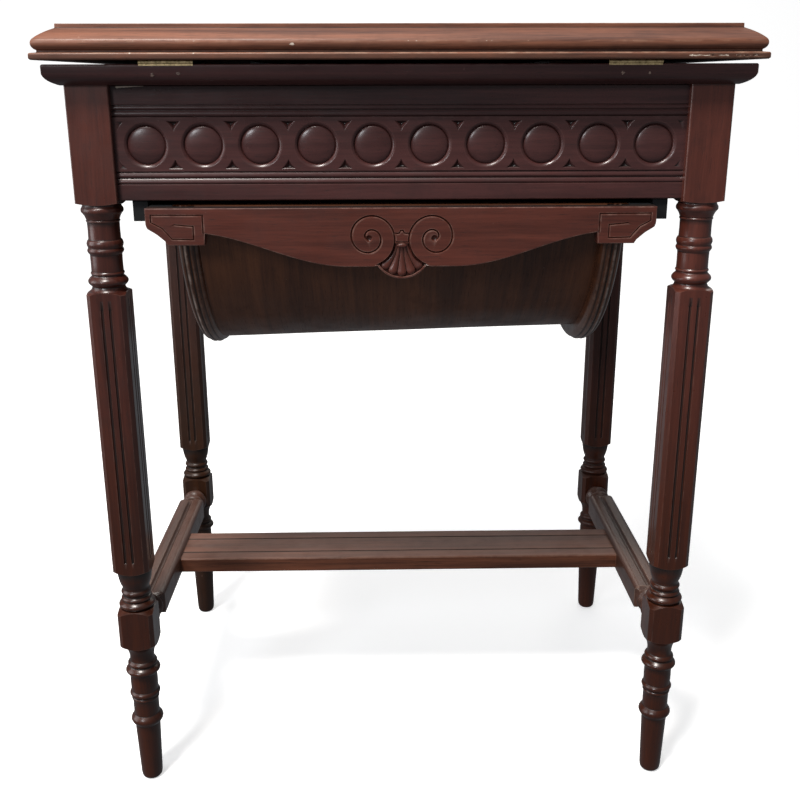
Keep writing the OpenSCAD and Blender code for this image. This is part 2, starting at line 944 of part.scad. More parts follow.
module bin_apron() {
    half = apron_half_outline();
    depth = 1.4;
    color(mahogany)
        translate([0, -apron_y, 0])
            rotate([90, 0, 0])
                difference() {
                    linear_extrude(apron_t)
                        polygon(concat(half, mirrored(half)));
                    translate([0, 0, apron_t - depth])
                        linear_extrude(depth + 1)
                            apron_carving();
                    rotate([-90, 0, 0])
                        translate([0, apron_y, 0])
                            apron_screw_set();
                }
}

// ---------- nodes ----------

leg(-1, -1);  // leg_front_left
leg(1, -1);  // leg_front_right
leg(-1, 1);  // leg_back_left
leg(1, 1);  // leg_back_right
frieze_front();
frieze_back();
frieze_side(-1);  // frieze_left
frieze_side(1);  // frieze_right
cornice_front();
cornice_board(cornice_x / 2, cornice_y / 2, 180);  // cornice_back
cornice_board(cornice_y / 2, cornice_x / 2, 270);  // cornice_left
cornice_board(cornice_y / 2, cornice_x / 2, 90);  // cornice_right
glue_blocks();
compartment_floor();
divider_long();
divider_short(-1);  // divider_left
divider_short(1);  // divider_right
runner(-1);  // runner_left
runner(1);  // runner_right
runner_screws();
side_stretcher(-1);  // side_stretcher_left
side_stretcher(1);  // side_stretcher_right
centre_stretcher();
hinge_lower_leaf(-1);  // hinge_left_lower_leaf
hinge_lower_leaf(1);  // hinge_right_lower_leaf
hinge_pin(-1);  // hinge_left_pin
hinge_pin(1);  // hinge_right_pin
hinge_lower_screws();
lid();
lid_batten(-1);  // lid_batten_left
lid_batten(1);  // lid_batten_right
lid_batten_screws();
hinge_upper_leaf(-1);  // hinge_left_upper_leaf
hinge_upper_leaf(1);  // hinge_right_upper_leaf
hinge_upper_screws();
bin_apron();
bin_side(-1);  // bin_side_left
bin_side(1);  // bin_side_right
bin_sheet();
bin_rail(-1);  // bin_front_rail
bin_rail(1);  // bin_back_rail
bin_hanger(-1);  // bin_hanger_left
bin_hanger(1);  // bin_hanger_right
bin_apron_screws();
bin_side_screws();
bin_hanger_screws();
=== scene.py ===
"""Looks for the sewing table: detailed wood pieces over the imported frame, a pale studio and the camera."""
import math
import random

import bmesh
import bpy
import numpy as np
from mathutils import Matrix, Vector, noise
from mathutils.geometry import delaunay_2d_cdt


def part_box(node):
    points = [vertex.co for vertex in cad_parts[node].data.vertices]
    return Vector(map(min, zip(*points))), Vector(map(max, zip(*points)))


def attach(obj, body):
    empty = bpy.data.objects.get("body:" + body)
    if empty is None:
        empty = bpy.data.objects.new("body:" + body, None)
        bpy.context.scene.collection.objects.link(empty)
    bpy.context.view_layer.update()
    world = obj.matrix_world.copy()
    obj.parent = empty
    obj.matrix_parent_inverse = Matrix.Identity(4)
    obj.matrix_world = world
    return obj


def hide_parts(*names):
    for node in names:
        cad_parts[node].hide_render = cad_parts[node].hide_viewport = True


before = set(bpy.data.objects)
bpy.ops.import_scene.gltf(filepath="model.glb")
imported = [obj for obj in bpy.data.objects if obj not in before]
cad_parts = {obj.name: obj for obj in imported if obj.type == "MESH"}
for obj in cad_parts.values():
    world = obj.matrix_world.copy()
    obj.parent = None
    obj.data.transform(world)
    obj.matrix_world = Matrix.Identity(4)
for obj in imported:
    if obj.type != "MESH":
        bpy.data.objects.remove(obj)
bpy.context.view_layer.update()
MM = 0.001
rng = random.Random(11)


def box(node):
    """Lowest and highest corner of a CAD node in millimetres."""
    low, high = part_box(node)
    return np.array(low) / MM, np.array(high) / MM


# ---------- outlines, in millimetres ----------

def bead(z0, z1, r, bulge, n=12):
    """A turned bead as radius and height: it swells by bulge between two heights."""
    return [(r + bulge * math.sin(math.pi * i / n), z0 + (z1 - z0) * i / n) for i in range(n + 1)]


def arc(cx, cy, rx, ry, a0, a1, n=12):
    """Part of an ellipse between two angles in degrees."""
    angles = [math.radians(a0 + (a1 - a0) * i / n) for i in range(n + 1)]
    return [(cx + rx * math.cos(a), cy + ry * math.sin(a)) for a in angles]


def bend(a, b, c, n=12):
    """A curve from a to c that leans towards b."""
    a, b, c = (np.array(p, float) for p in (a, b, c))
    return [tuple((1 - t) ** 2 * a + 2 * t * (1 - t) * b + t * t * c) for t in np.linspace(0, 1, n + 1)]


def shift(points, dz):
    return [(r, z + dz) for r, z in points]


def soften(points, radius=0.4, support=0.8, closed=False, limit=22):
    """Rounds the corners of a polyline and adds a point on either side that holds the edge."""
    pts = [np.array(p, float) for p in points]
    out = []
    for i, b in enumerate(pts):
        if not closed and i in (0, len(pts) - 1):
            out.append(b)
            continue
        u, v = pts[i - 1] - b, pts[(i + 1) % len(pts)] - b
        lu, lv = np.linalg.norm(u), np.linalg.norm(v)
        if lu < 1e-6 or lv < 1e-6:
            continue
        u, v = u / lu, v / lv
        turn = math.degrees(math.acos(max(-1, min(1, -float(u @ v)))))
        if turn < limit:
            out.append(b)
            continue
        ru, rv = min(radius, lu * 0.35), min(radius, lv * 0.35)
        p, q = b + u * ru, b + v * rv
        if lu > 2.2 * (ru + support):
            out.append(b + u * (ru + support))
        out += [p, (p + 2 * b + q) / 4, q]
        if lv > 2.2 * (rv + support):
            out.append(b + v * (rv + support))
    return out


def refine(points, step, closed=False):
    """Splits long segments so that none is longer than step."""
    out = []
    count = len(points) if closed else len(points) - 1
    for i in range(count):
        a, b = np.array(points[i], float), np.array(points[(i + 1) % len(points)], float)
        n = max(1, math.ceil(np.linalg.norm(b - a) / step))
        out += [a + (b - a) * k / n for k in range(n)]
    if not closed:
        out.append(np.array(points[-1], float))
    return out


def levels(start, end, step, margin=(0.4, 1.2)):
    """Stations from start to end, with closer ones by both ends."""
    inner = [start + m for m in margin] + [end - m for m in reversed(margin)]
    lo, hi = start + margin[-1], end - margin[-1]
    n = max(1, round((hi - lo) / step))
    return sorted(set([start, end] + inner + [lo + (hi - lo) * i / n for i in range(n + 1)]))


def inside(points, polygon):
    """Which of the points lie inside the polygon."""
    x, y = points[:, 0], points[:, 1]
    found = np.zeros(len(points), bool)
    for i in range(len(polygon)):
        (x0, y0), (x1, y1) = polygon[i - 1], polygon[i]
        crosses = (y0 > y) != (y1 > y)
        if y0 != y1:
            found ^= crosses & (x < (x1 - x0) * (y - y0) / (y1 - y0) + x0)
    return found


def normals(edges):
    """Unit vectors to the left of each edge."""
    n = np.stack([-edges[:, 1], edges[:, 0]], 1)
    return n / np.maximum(np.linalg.norm(n, axis=1, keepdims=True), 1e-9)


def moved(points, before, after, d):
    """Points moved sideways by d, between the normals of the edges before and after them."""
    mid = before + after
    return points + d * mid / np.maximum((mid * before).sum(1, keepdims=True), 0.35)


def offset(polygon, d):
    """A closed outline moved inwards by d. The outline runs anticlockwise."""
    points = np.array(polygon, float)
    n = normals(np.roll(points, -1, 0) - points)
    return moved(points, np.roll(n, 1, 0), n, d)


def beside(line, d):
    """An open line moved sideways by d."""
    points = np.array(line, float)
    n = normals(np.diff(points, axis=0))
    return moved(points, np.vstack([n[:1], n]), np.vstack([n, n[-1:]]), d)


def upright(points, y):
    """The points of a flat outline stood up at depth y."""
    return np.column_stack([points[:, 0], np.zeros(len(points)) + y, points[:, 1]])


def ripple(x, y, z):
    """Smooth noise around 0."""
    return noise.noise(Vector((x, y, z)))


def distance(points, line):
    """Distance of each point from a line."""
    best = np.full(len(points), 1e9)
    for a, b in zip(line[:-1], line[1:]):
        a, b = np.array(a, float), np.array(b, float)
        ab = b - a
        t = np.clip(((points - a) @ ab) / max(ab @ ab, 1e-12), 0, 1)
        best = np.minimum(best, np.linalg.norm(points - a - t[:, None] * ab, axis=1))
    return best


# ---------- meshes ----------

class Shape:
    """Points in millimetres and faces, put together from grids and panels."""

    def __init__(self):
        self.points, self.faces = [], []

    def grid(self, rings, loop=True, caps=False):
        """Joins rows of points with four-sided faces, round each row when loop is set."""
        base, n = len(self.points), len(rings[0])
        for ring in rings:
            self.points.extend(tuple(float(c) for c in p) for p in ring)
        for i in range(len(rings) - 1):
            a0, b0 = base + i * n, base + (i + 1) * n
            for j in range(n if loop else n - 1):
                k = (j + 1) % n
                self.faces.append((a0 + j, a0 + k, b0 + k, b0 + j))
        if caps:
            self.faces.append(tuple(range(base, base + n)))
            last = base + (len(rings) - 1) * n
            self.faces.append(tuple(range(last, last + n)))

    def panel(self, loops, lines, place, spots=(), holes=()):
        """Fills the first loop with triangles that follow the loops and lines, leaving out the holes."""
        flat, edges = [], []
        for k, line in enumerate(list(loops) + list(lines)):
            base, n = len(flat), len(line)
            flat += line if isinstance(line, list) else line.tolist()
            edges += [(base + i, base + (i + 1) % n) for i in range(n if k < len(loops) else n - 1)]
        flat = [Vector((float(x), float(y))) for x, y in flat + list(spots)]
        made = delaunay_2d_cdt(flat, edges, [], 0, 1e-5, False)
        points = np.array([tuple(p) for p in made[0]])
        triangles = np.array([tuple(f) for f in made[2]])
        middle = points[triangles].mean(1)
        keep = inside(middle, loops[0])
        for hole in holes:
            keep &= ~inside(middle, hole)
        base = len(self.points)
        self.points.extend(tuple(float(c) for c in p) for p in place(points))
        self.faces.extend(tuple(int(base + i) for i in t) for t in triangles[keep])


def curvature(mesh):
    """Per-point wear on convex edges and grime in concave ones, from the mesh's own curvature."""
    n, m = len(mesh.vertices), len(mesh.edges)
    co, no, ed = np.zeros(n * 3), np.zeros(n * 3), np.zeros(m * 2, np.int32)
    mesh.vertices.foreach_get("co", co)
    mesh.vertex_normals.foreach_get("vector", no)
    mesh.edges.foreach_get("vertices", ed)
    co, no, ed = co.reshape(-1, 3), no.reshape(-1, 3), ed.reshape(-1, 2)
    a, b = ed[:, 0], ed[:, 1]
    d = co[b] - co[a]
    length = np.maximum((d * d).sum(1), (0.25 * MM) ** 2)
    values = {}
    for name, sign, low, high in (("wear", -1, 250, 1500), ("grime", 1, 150, 1100)):
        k = np.zeros(n)
        np.maximum.at(k, a, sign * 2 * (no[a] * d).sum(1) / length)
        np.maximum.at(k, b, sign * -2 * (no[b] * d).sum(1) / length)
        t = np.clip((k - low) / (high - low), 0, 1)
        values[name] = t * t * (3 - 2 * t)
    return values


def add(name, data):
    """Puts a new object in the scene."""
    made = bpy.data.objects.new(name, data)
    bpy.context.scene.collection.objects.link(made)
    return made


def piece(name, shape, body, material, nodes=(), angle=38, extra=None):
    """Makes the object, in metres, with smooth shading, worn edges and its place on a CAD body."""
    mesh = bpy.data.meshes.new(name)
    mesh.from_pydata([(x * MM, y * MM, z * MM) for x, y, z in shape.points], [], shape.faces)
    bm = bmesh.new()
    bm.from_mesh(mesh)
    bmesh.ops.remove_doubles(bm, verts=bm.verts, dist=0.004 * MM)
    bmesh.ops.dissolve_degenerate(bm, edges=bm.edges, dist=0.002 * MM)
    bmesh.ops.recalc_face_normals(bm, faces=bm.faces)
    bm.to_mesh(mesh)
    bm.free()
    mesh.polygons.foreach_set("use_smooth", [True] * len(mesh.polygons))
    mesh.set_sharp_from_angle(angle=math.radians(angle))
    values = curvature(mesh)
    if extra:
        co = np.zeros(len(mesh.vertices) * 3)
        mesh.vertices.foreach_get("co", co)
        values.update(extra(co.reshape(-1, 3) / MM, values))
    for key, value in values.items():
        vector = np.ndim(value) == 2
        store = mesh.attributes.new(key, "FLOAT_VECTOR" if vector else "FLOAT", "POINT")
        store.data.foreach_set("vector" if vector else "value", np.ravel(value).astype(np.float32))
    mesh.materials.append(material)
    made = add(name, mesh)
    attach(made, body)
    if nodes:
        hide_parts(*nodes)


# ---------- materials ----------

def srgb(r, g, b):
    """A colour seen on screen, 0 to 255, as linear light."""
    c = [x / 255 for x in (r, g, b)]
    return tuple(x / 12.92 if x <= 0.04045 else ((x + 0.055) / 1.055) ** 2.4 for x in c) + (1.0,)


class Graph:
    """Short names for the nodes that the materials are made of."""

    def __init__(self, name):
        self.material = bpy.data.materials.new(name)
        self.material.use_nodes = True
        self.tree = self.material.node_tree
        self.tree.nodes.clear()

    def node(self, kind, inputs=None, **settings):
        made = self.tree.nodes.new("ShaderNode" + kind)
        for key, value in settings.items():
            setattr(made, key, value)
        for key, value in (inputs or {}).items():
            if isinstance(value, bpy.types.NodeSocket):
                self.tree.links.new(value, made.inputs[key])
            else:
                made.inputs[key].default_value = value
        return made

    def math(self, operation, a, b=0.0):
        return self.node("Math", {0: a, 1: b}, operation=operation).outputs[0]

    def ramp(self, value, low, high, to_low=0.0, to_high=1.0):
        inputs = {0: value, 1: low, 2: high, 3: to_low, 4: to_high}
        return self.node("MapRange", inputs, interpolation_type="SMOOTHSTEP").outputs[0]

    def mix(self, share, a, b, blend="MIX"):
        made = self.node("Mix", {0: share, 6: a, 7: b}, data_type="RGBA", blend_type=blend)
        return made.outputs[2]

    def stretch(self, vector, scale, shift=(0, 0, 0)):
        inputs = {0: vector, 1: scale, 2: shift}
        return self.node("VectorMath", inputs, operation="MULTIPLY_ADD").outputs[0]

    def noise(self, vector, scale=1.0, detail=3.0, roughness=0.55, distortion=0.0):
        inputs = {"Vector": vector, "Scale": scale, "Detail": detail, "Roughness": roughness,
                  "Distortion": distortion}
        return self.node("TexNoise", inputs).outputs[0]

    def attribute(self, name, output="Fac"):
        return self.node("Attribute", attribute_name=name).outputs[output]

    def finish(self, shader):
        self.node("OutputMaterial", {"Surface": shader.outputs[0]})
        return self.material


def wood(name, colours, axis, seed=0, figure=1.0, rough=0.4, coat=0.22, dust_and_sheen=0.0, wear=0.6,
         grain=None, scratch=0.5, browner=None):
    """Stained wood under old varnish. axis is the way its grain runs, browner the heights
    in metres between which it turns from brown to red."""
    dark, light, worn_and_highlight = colours
    g = Graph(name)
    place = g.attribute(grain, "Vector") if grain else g.node("TexCoord").outputs["Object"]
    away = (seed * 1.37, seed * 2.11, seed * 0.73)

    def grain_scale(along, across):
        return tuple(along if i == axis else across for i in range(3))

    warp = g.noise(g.stretch(place, grain_scale(3, 14), away), detail=2)
    sway = g.node("CombineXYZ", {0: warp, 1: warp, 2: warp}).outputs[0]
    bent = g.stretch(place, (1, 1, 1), tuple(part + 0.006 for part in away))
    bent = g.node("Mix", {0: 0.012, 4: bent, 5: sway}, data_type="VECTOR").outputs[1]
    broad = g.noise(g.stretch(bent, grain_scale(1.6, 16)), detail=3)
    band = g.noise(g.stretch(bent, grain_scale(5, 130)), detail=4, roughness=0.6)
    fine = g.noise(g.stretch(bent, grain_scale(22, 620)), detail=3, roughness=0.6)
    pores = g.noise(g.stretch(bent, grain_scale(75, 1900)), detail=2, roughness=0.5)
    pores = g.ramp(pores, 0.60, 0.74)
    mottle = g.noise(place, 34, detail=4, roughness=0.6)

    tone = g.math("ADD", g.math("MULTIPLY", g.ramp(broad, 0.3, 0.7), 0.45),
                  g.math("MULTIPLY", g.ramp(band, 0.32, 0.68), 0.35 * figure))
    tone = g.math("ADD", tone, g.math("MULTIPLY", g.ramp(fine, 0.3, 0.7), 0.2 * figure))
    colour = g.mix(tone, dark, light)
    colour = g.mix(g.math("MULTIPLY", pores, 0.55), colour, (0.006, 0.003, 0.002, 1))
    colour = g.mix(g.ramp(mottle, 0.52, 0.78, 0, 0.35), colour, dark)

    if browner:
        height = g.node("SeparateXYZ", {0: place}).outputs[2]
        share = g.ramp(height, browner[0], browner[1], 1, 0)
        colour = g.mix(share, colour, (0.66, 0.50, 0.14, 1), blend="MULTIPLY")

    # Pale edges from the wear attribute: real wear, and on the bin's reeds and the apron's carved lines also
    # painted highlights.
    edge = g.attribute("wear")
    patch = g.noise(place, 95, detail=5, roughness=0.65)
    edge = g.math("MULTIPLY", edge, g.ramp(patch, 0.36, 0.66, 0.12 * wear, 0.85 * wear))
    colour = g.mix(edge, colour, worn_and_highlight)
    # Dark hollows from the grime attribute: real dirt, and on the lid's fillet and nose and the apron's top
    # face also painted shade.
    hollow = g.attribute("grime")
    hollow = g.math("MULTIPLY", hollow, g.ramp(patch, 0.2, 0.6, 0.6, 0.95))
    colour = g.mix(hollow, colour, (0.008, 0.005, 0.004, 1))
    flecks = g.noise(g.stretch(place, (320, 320, 900), away), detail=3)
    chip = g.ramp(g.math("ADD", g.attribute("chip"), flecks), 1.0, 1.06)
    colour = g.mix(chip, colour, srgb(206, 190, 174))

    marks = g.noise(g.stretch(place, (210, 260, 190), away), detail=2, roughness=0.8)
    marks = g.ramp(marks, 0.74, 0.80, 0, scratch)
    colour = g.mix(marks, colour, worn_and_highlight)
    # Upward-facing surfaces are paled by a haze that is partly dust and partly a painted sheen of reflected
    # light.
    if dust_and_sheen:
        up = g.node("SeparateXYZ", {0: g.node("NewGeometry").outputs["Normal"]}).outputs[2]
        haze = g.math("MULTIPLY", g.ramp(up, 0.55, 0.98), g.ramp(mottle, 0.25, 0.75, 0.35 * dust_and_sheen, dust_and_sheen))
        colour = g.mix(haze, colour, srgb(176, 150, 140))

    roughness = g.ramp(mottle, 0.25, 0.8, rough - 0.05, rough + 0.12)
    roughness = g.math("ADD", roughness, g.math("MULTIPLY", g.math("ADD", hollow, pores), 0.2))
    roughness = g.math("ADD", roughness, g.math("MULTIPLY", edge, 0.12))
    height = g.math("SUBTRACT", g.math("MULTIPLY", fine, 0.35), g.math("MULTIPLY", pores, 0.5))
    height = g.math("ADD", height, g.math("MULTIPLY", patch, 0.3))
    bump = g.node("Bump", {"Strength": 0.35, "Distance": 0.00012, "Height": height}).outputs[0]
    wave = g.noise(g.stretch(place, grain_scale(9, 26), away), detail=1)
    bump = g.node("Bump", {"Strength": 0.25, "Distance": 0.0016, "Height": wave, "Normal": bump})
    shader = g.node("BsdfPrincipled", {
        "Base Color": colour, "Roughness": roughness, "Normal": bump.outputs[0],
        "IOR": 1.47, "Specular IOR Level": 0.4, "Coat Weight": coat, "Coat Roughness": 0.22,
        "Coat IOR": 1.45})
    return g.finish(shader)


def metal(name, bright, dull, rough):
    """Old metal with dull spots and fine scratches along x."""
    g = Graph(name)
    place = g.node("TexCoord").outputs["Object"]
    spots = g.noise(place, 260, detail=5, roughness=0.7)
    streak = g.noise(g.stretch(place, (60, 900, 900)), detail=2)
    colour = g.mix(g.ramp(spots, 0.38, 0.66), bright, dull)
    colour = g.mix(g.ramp(spots, 0.62, 0.75), colour, (0.02, 0.014, 0.008, 1))
    bump = g.node("Bump", {"Strength": 0.4, "Distance": 0.0001,
                           "Height": g.math("ADD", spots, g.math("MULTIPLY", streak, 0.5))})
    shader = g.node("BsdfPrincipled", {
        "Base Color": colour, "Metallic": 0.9, "Normal": bump.outputs[0],
        "Roughness": g.ramp(spots, 0.3, 0.7, rough, rough + 0.25)})
    return g.finish(shader)


def studio_white():
    g = Graph("studio_white")
    white = (0.9, 0.9, 0.9, 1)
    return g.finish(g.node("BsdfPrincipled", {"Base Color": white, "Roughness": 0.95,
                                              "Specular IOR Level": 0.0, "Emission Color": white,
                                              "Emission Strength": 0.6}))


# Woods: the dark and the light of the grain, and where it is worn. The worn colour also paints highlights on
# the bin's reeds and along the apron's carved lines.
RED = srgb(48, 20, 15), srgb(99, 50, 39), srgb(128, 98, 88)
# A darker, cooler copy of RED that paints the shade under the lid, for the front frieze and the cornice.
SHADED_RED = srgb(39, 20, 20), srgb(82, 47, 45), srgb(124, 92, 86)
# A darker copy of RED that paints the shade on the back left leg.
SHADED_LEG = srgb(34, 19, 15), srgb(76, 46, 38), srgb(128, 98, 88)
LID_WOOD = srgb(66, 36, 27), srgb(140, 88, 65), srgb(182, 148, 124)
BIN_WOOD = srgb(54, 26, 13), srgb(100, 58, 34), srgb(170, 150, 138)
SIDE_WOOD = srgb(46, 27, 20), srgb(90, 58, 46), srgb(150, 126, 110)
SHELF_WOOD = srgb(46, 23, 15), srgb(116, 68, 47), srgb(160, 130, 112)
FILLER = srgb(70, 52, 48), srgb(112, 88, 80), srgb(150, 130, 116)
NEAR_BLACK = srgb(6, 6, 8), srgb(15, 15, 18), srgb(50, 46, 46)
PINE = srgb(150, 112, 74), srgb(196, 156, 112), srgb(214, 184, 148)


# ---------- legs ----------

frieze_low = box("frieze_front")[0][2]
leg_low, leg_high = box("leg_front_right")
HALF = min(leg_high[0] - leg_low[0], leg_high[1] - leg_low[1]) / 2
LEG_X, LEG_Y = leg_high[0] - HALF, -(leg_low[1] + HALF)
LEG_TOP = leg_high[2]
CORNER = HALF * math.sqrt(2)
POST_LOW = LEG_TOP - 98.4
SHAFT_HALF, CHAMFER = 17.1, 3.6

# Distances from the middle of a leg's face, closer together by the flutes and the corner.
STEPS = [0, 1, 1.9, 2.35, 2.6, 3.0, 3.6, 4.2, 4.65, 4.95, 5.3, 6.2, 7.6, 9, 10.4, 11.8, 12.8, 13.5,
         13.85, 14.2, 14.7, 15.4, 16.1, 16.7, 17.05, 17.4]
FACE = [-HALF] + [-s for s in reversed(STEPS[1:])] + STEPS
SHAFT_LOW, SHAFT_HIGH = 238.3, POST_LOW - 76.1
BLOCK_LOW, BLOCK_HIGH = 156.8, 198.0
FLUTE_LOW, FLUTE_HIGH = SHAFT_LOW + 13.7, SHAFT_HIGH - 15.2
FLUTE_X, FLUTE_R = 3.5, 1.25


def leg_outline(z, chamfer, flutes=False, half=HALF):
    """The leg's square outline at one height, with chamfered corners and flutes."""
    u = np.array(FACE) * half / HALF
    depth = np.zeros(len(u))
    if flutes:
        over = max(0, FLUTE_LOW - z, z - FLUTE_HIGH)
        d2 = (np.abs(u) - FLUTE_X) ** 2 + over ** 2
        depth = np.maximum(0, np.sqrt(np.maximum(0, FLUTE_R ** 2 - d2)) * 1.25 - 0.15)
    scale = np.minimum(1, (2 * half - chamfer) / (np.abs(u) + half))
    x, y = u * scale, (-half + depth) * scale
    turns = [(1, 0), (0, 1), (-1, 0), (0, -1)]
    return np.concatenate([np.stack([x * c - y * s, x * s + y * c], 1) for c, s in turns])


def at_height(outline, z):
    return np.column_stack([outline, np.full(len(outline), z)])


def round_rings(profile):
    """Turned rings on the leg's own directions."""
    way = leg_outline(0, 0)
    way = way / np.linalg.norm(way, axis=1, keepdims=True)
    return [at_height(way * max(r, 1e-4), z) for r, z in soften(profile, 0.35, 0.7)]


def shoulder_rings(outline, z0, up, run, r_end, domed, count=9):
    """Rings where a turned shoulder cuts the square, from the turning at r_end out to the faces."""
    radius = np.linalg.norm(outline, axis=1)
    reach = (radius - r_end) / (CORNER - r_end)
    rings = []
    for k in range(count + 1):
        s = reach * k / count
        r = r_end + s * (CORNER - r_end)
        rise = run * (1 - np.sqrt(np.maximum(0, 1 - s * s))) if domed else run * s
        xy = outline / radius[:, None] * r[:, None]
        rings.append(np.column_stack([xy, z0 + up * rise]))
    held = rings[-1].copy()
    held[:, 2] += up * 0.5
    return rings + [held]


def square_part(z_low, z_high, low, high, flutes=False):
    """A square length of the leg between two turned shoulders, each (run, end radius, domed)."""
    plain_outline = leg_outline(0, CHAMFER, half=SHAFT_HALF)
    rings = shoulder_rings(plain_outline, z_low, 1, *low)
    stations = levels(z_low + 6, z_high - 6, 9)
    if flutes:
        near = [m + s for m in (FLUTE_LOW, FLUTE_HIGH) for s in (-1.3, -1.0, -0.6, -0.3, 0, 0.8)]
        stations = sorted(set(stations) | set(near))
    rings += [at_height(leg_outline(z, CHAMFER, flutes, half=SHAFT_HALF), z) for z in stations]
    return rings + list(reversed(shoulder_rings(plain_outline, z_high, -1, *high)))


# The three turnings of a leg from the floor up, as radius and height.
foot = ([(0, 0), (5.5, 0), (8.2, 0.7), (10, 3), (10.6, 7), (12.4, 64)]
        + bead(65.6, 77.4, 12.5, 3.4, 16) + [(12.6, 78.4), (12.6, 93.6)]
        + bead(94.2, 97.6, 12.8, 0.8, 8) + bead(98.4, 104.6, 13.1, 1.8, 10)
        + [(13.2, 105.2), (13.4, 114), (13.2, 123)]
        + bead(123.8, 132.6, 13.3, 3.6) + bead(133.2, 138.4, 12.9, 1.5, 8) + [(12.2, 139)]
        + bend((11.9, 140.8), (11.6, 151), (16.9, BLOCK_LOW)))
waist = ([(15.6, BLOCK_HIGH), (15, BLOCK_HIGH + 0.2)] + bead(198.4, 206.2, 14.2, 3.2, 16)
         + bead(206.5, 210.7, 13.4, 1.3, 8) + [(12.5, 211.1), (12.5, 212.7)]
         + bead(212.9, 218.3, 12.7, 1.6, 10) + [(12.6, 218.9), (12.7, 220.6)]
         + bend((13.2, 221.8), (15, 226.2), (15.6, 230)) + [(16.9, SHAFT_LOW)])
neck = shift(bend((16.9, 0), (15.1, 1.2), (14.4, 3.6)) + bead(4.2, 13.4, 14.2, 3.3, 16)
             + bead(14.4, 17.6, 13.8, 0.9, 8) + [(13.9, 18.2), (13.8, 25), (13.9, 32.5), (14.6, 33.4)]
             + bead(33.8, 38.2, 14.9, 0.9, 8) + bead(38.8, 45, 14.9, 0.9, 8)
             + [(14, 45.6), (13.8, 53), (13.9, 60.4)] + bead(60.8, 63, 14, 0.7, 8) + [(14.3, 63.4)]
             + bend((14.5, 63.6), (15.2, 66.6), (17.4, 69)) + arc(17.2, 71.2, 1, 2.2, -50, 75)
             + [(16.6, 75), (16.6, 76.1)], SHAFT_HIGH)

SLANT, DOME = (5.6, 17, False), (13, 16.9, True)
post_outline = leg_outline(0, 0.9)
leg_rings = round_rings(refine(foot, 9))
leg_rings += square_part(BLOCK_LOW, BLOCK_HIGH, SLANT, SLANT)
leg_rings += round_rings(waist)
leg_rings += square_part(SHAFT_LOW, SHAFT_HIGH, SLANT, DOME, flutes=True)
leg_rings += round_rings(refine(neck, 7))
leg_rings += shoulder_rings(post_outline, POST_LOW, 1, 2.1, 17.2, False, 5)
leg_rings += [at_height(post_outline, z) for z in levels(POST_LOW + 3.6, LEG_TOP, 9)]

for side, sx in (("left", -1), ("right", 1)):
    for end, sy in (("front", -1), ("back", 1)):
        node = f"leg_{end}_{side}"
        shape = Shape()
        middle = np.array([sx * LEG_X, sy * LEG_Y, 0])
        shape.grid([ring + middle for ring in leg_rings], caps=True)
        front = end == "front"
        # Painted shade: the back left leg gets the darker copy of the red.
        skin = wood(f"{node}_wood", SHADED_LEG if (end, side) == ("back", "left") else RED, 2,
                    seed=rng.uniform(1, 9), figure=0.8, rough=0.31 if front else 0.42,
                    coat=0.5 if front else 0.12, wear=0.4, browner=(0.22, 0.52))
        piece(node + "_turned", shape, "table", skin, [node])


# ---------- friezes ----------

front_low, front_high = box("frieze_front")
POST_H = front_high[2] - front_low[2]
FRIEZE_TOP = POST_H - 0.4
INNER_X = LEG_X - HALF
FRONT_Y = -front_low[1]
FRIEZE_T = front_high[1] - front_low[1]
FIELD = (24.7, 69.1)                    # the carved part's lower and upper edge
MID = 46.3                              # height of the roundels' centres above the frieze's lower edge
DOME_R, GROOVE_R, RING_R, PITCH, COUNT = 15.9, 18.5, 26.5, 48.0, 10
CARVED_X = COUNT * PITCH / 2


def run_beads(*spans):
    """Beads between pairs of heights, a quarter as deep as they are high, fullest low down."""
    return [(FRIEZE_T - (b - a) / 4 * (1 - math.sin(math.pi / 2 * min(i / 3.5, (10 - i) / 6.5))),
             a + (b - a) * i / 10) for a, b in spans for i in range(11)]


def swept(section, stations, place):
    """The section set out at each station along a board."""
    return [[place(x, a, b) for a, b in section] for x in stations]


# A frieze's outer side below and above the carved part: distance from its back face, height.
lower = [(0, 0), (FRIEZE_T - 0.8, 0), (FRIEZE_T, 0.8), (FRIEZE_T, 13.7)]
lower = soften(lower + run_beads((13.9, 18.3), (18.7, 24.3)) + [(FRIEZE_T, FIELD[0])], 0.25, 0.7)
upper = [(FRIEZE_T, 79.3), (FRIEZE_T, FRIEZE_TOP), (0, FRIEZE_TOP)]
upper = soften([(FRIEZE_T, FIELD[1])] + run_beads((69.5, 74.7), (75.1, 78.9)) + upper, 0.25, 0.7)


def plain_frieze(name, half, place):
    """A frieze board with its run beads and no carving."""
    section = lower + [(FRIEZE_T, z) for z in (35, 46, 58)] + upper
    shape = Shape()
    shape.grid(swept(section, levels(-half, half, 12), place), caps=True)
    skin = wood(name + "_wood", RED, 0 if name.endswith("back") else 1, seed=rng.uniform(1, 9))
    piece(name + "_moulded", shape, "table", skin, [name])


SIDE_OUT = -box("frieze_left")[0][0]
INNER_Y = LEG_Y - HALF
plain_frieze("frieze_back", INNER_X, lambda x, a, b: (x, FRONT_Y - FRIEZE_T + a, frieze_low + b))
plain_frieze("frieze_left", INNER_Y, lambda x, a, b: (-(SIDE_OUT - FRIEZE_T + a), x, frieze_low + b))
plain_frieze("frieze_right", INNER_Y, lambda x, a, b: (SIDE_OUT - FRIEZE_T + a, x, frieze_low + b))


def circle(cx, cy, r, n=72):
    return [(cx + r * math.cos(2 * math.pi * i / n), cy + r * math.sin(2 * math.pi * i / n))
            for i in range(n)]


def spandrel(cx, up):
    """A sunk triangle between two rings, point towards the middle line, anticlockwise."""
    top, apex = 20.0, 11.3
    side = [(math.sqrt(RING_R ** 2 - h * h) - PITCH / 2, h) for h in np.linspace(top, apex, 9)]
    points = [(cx + x, up * h) for x, h in side] + [(cx - x, up * h) for x, h in side[-2::-1]]
    return points if up > 0 else points[::-1]


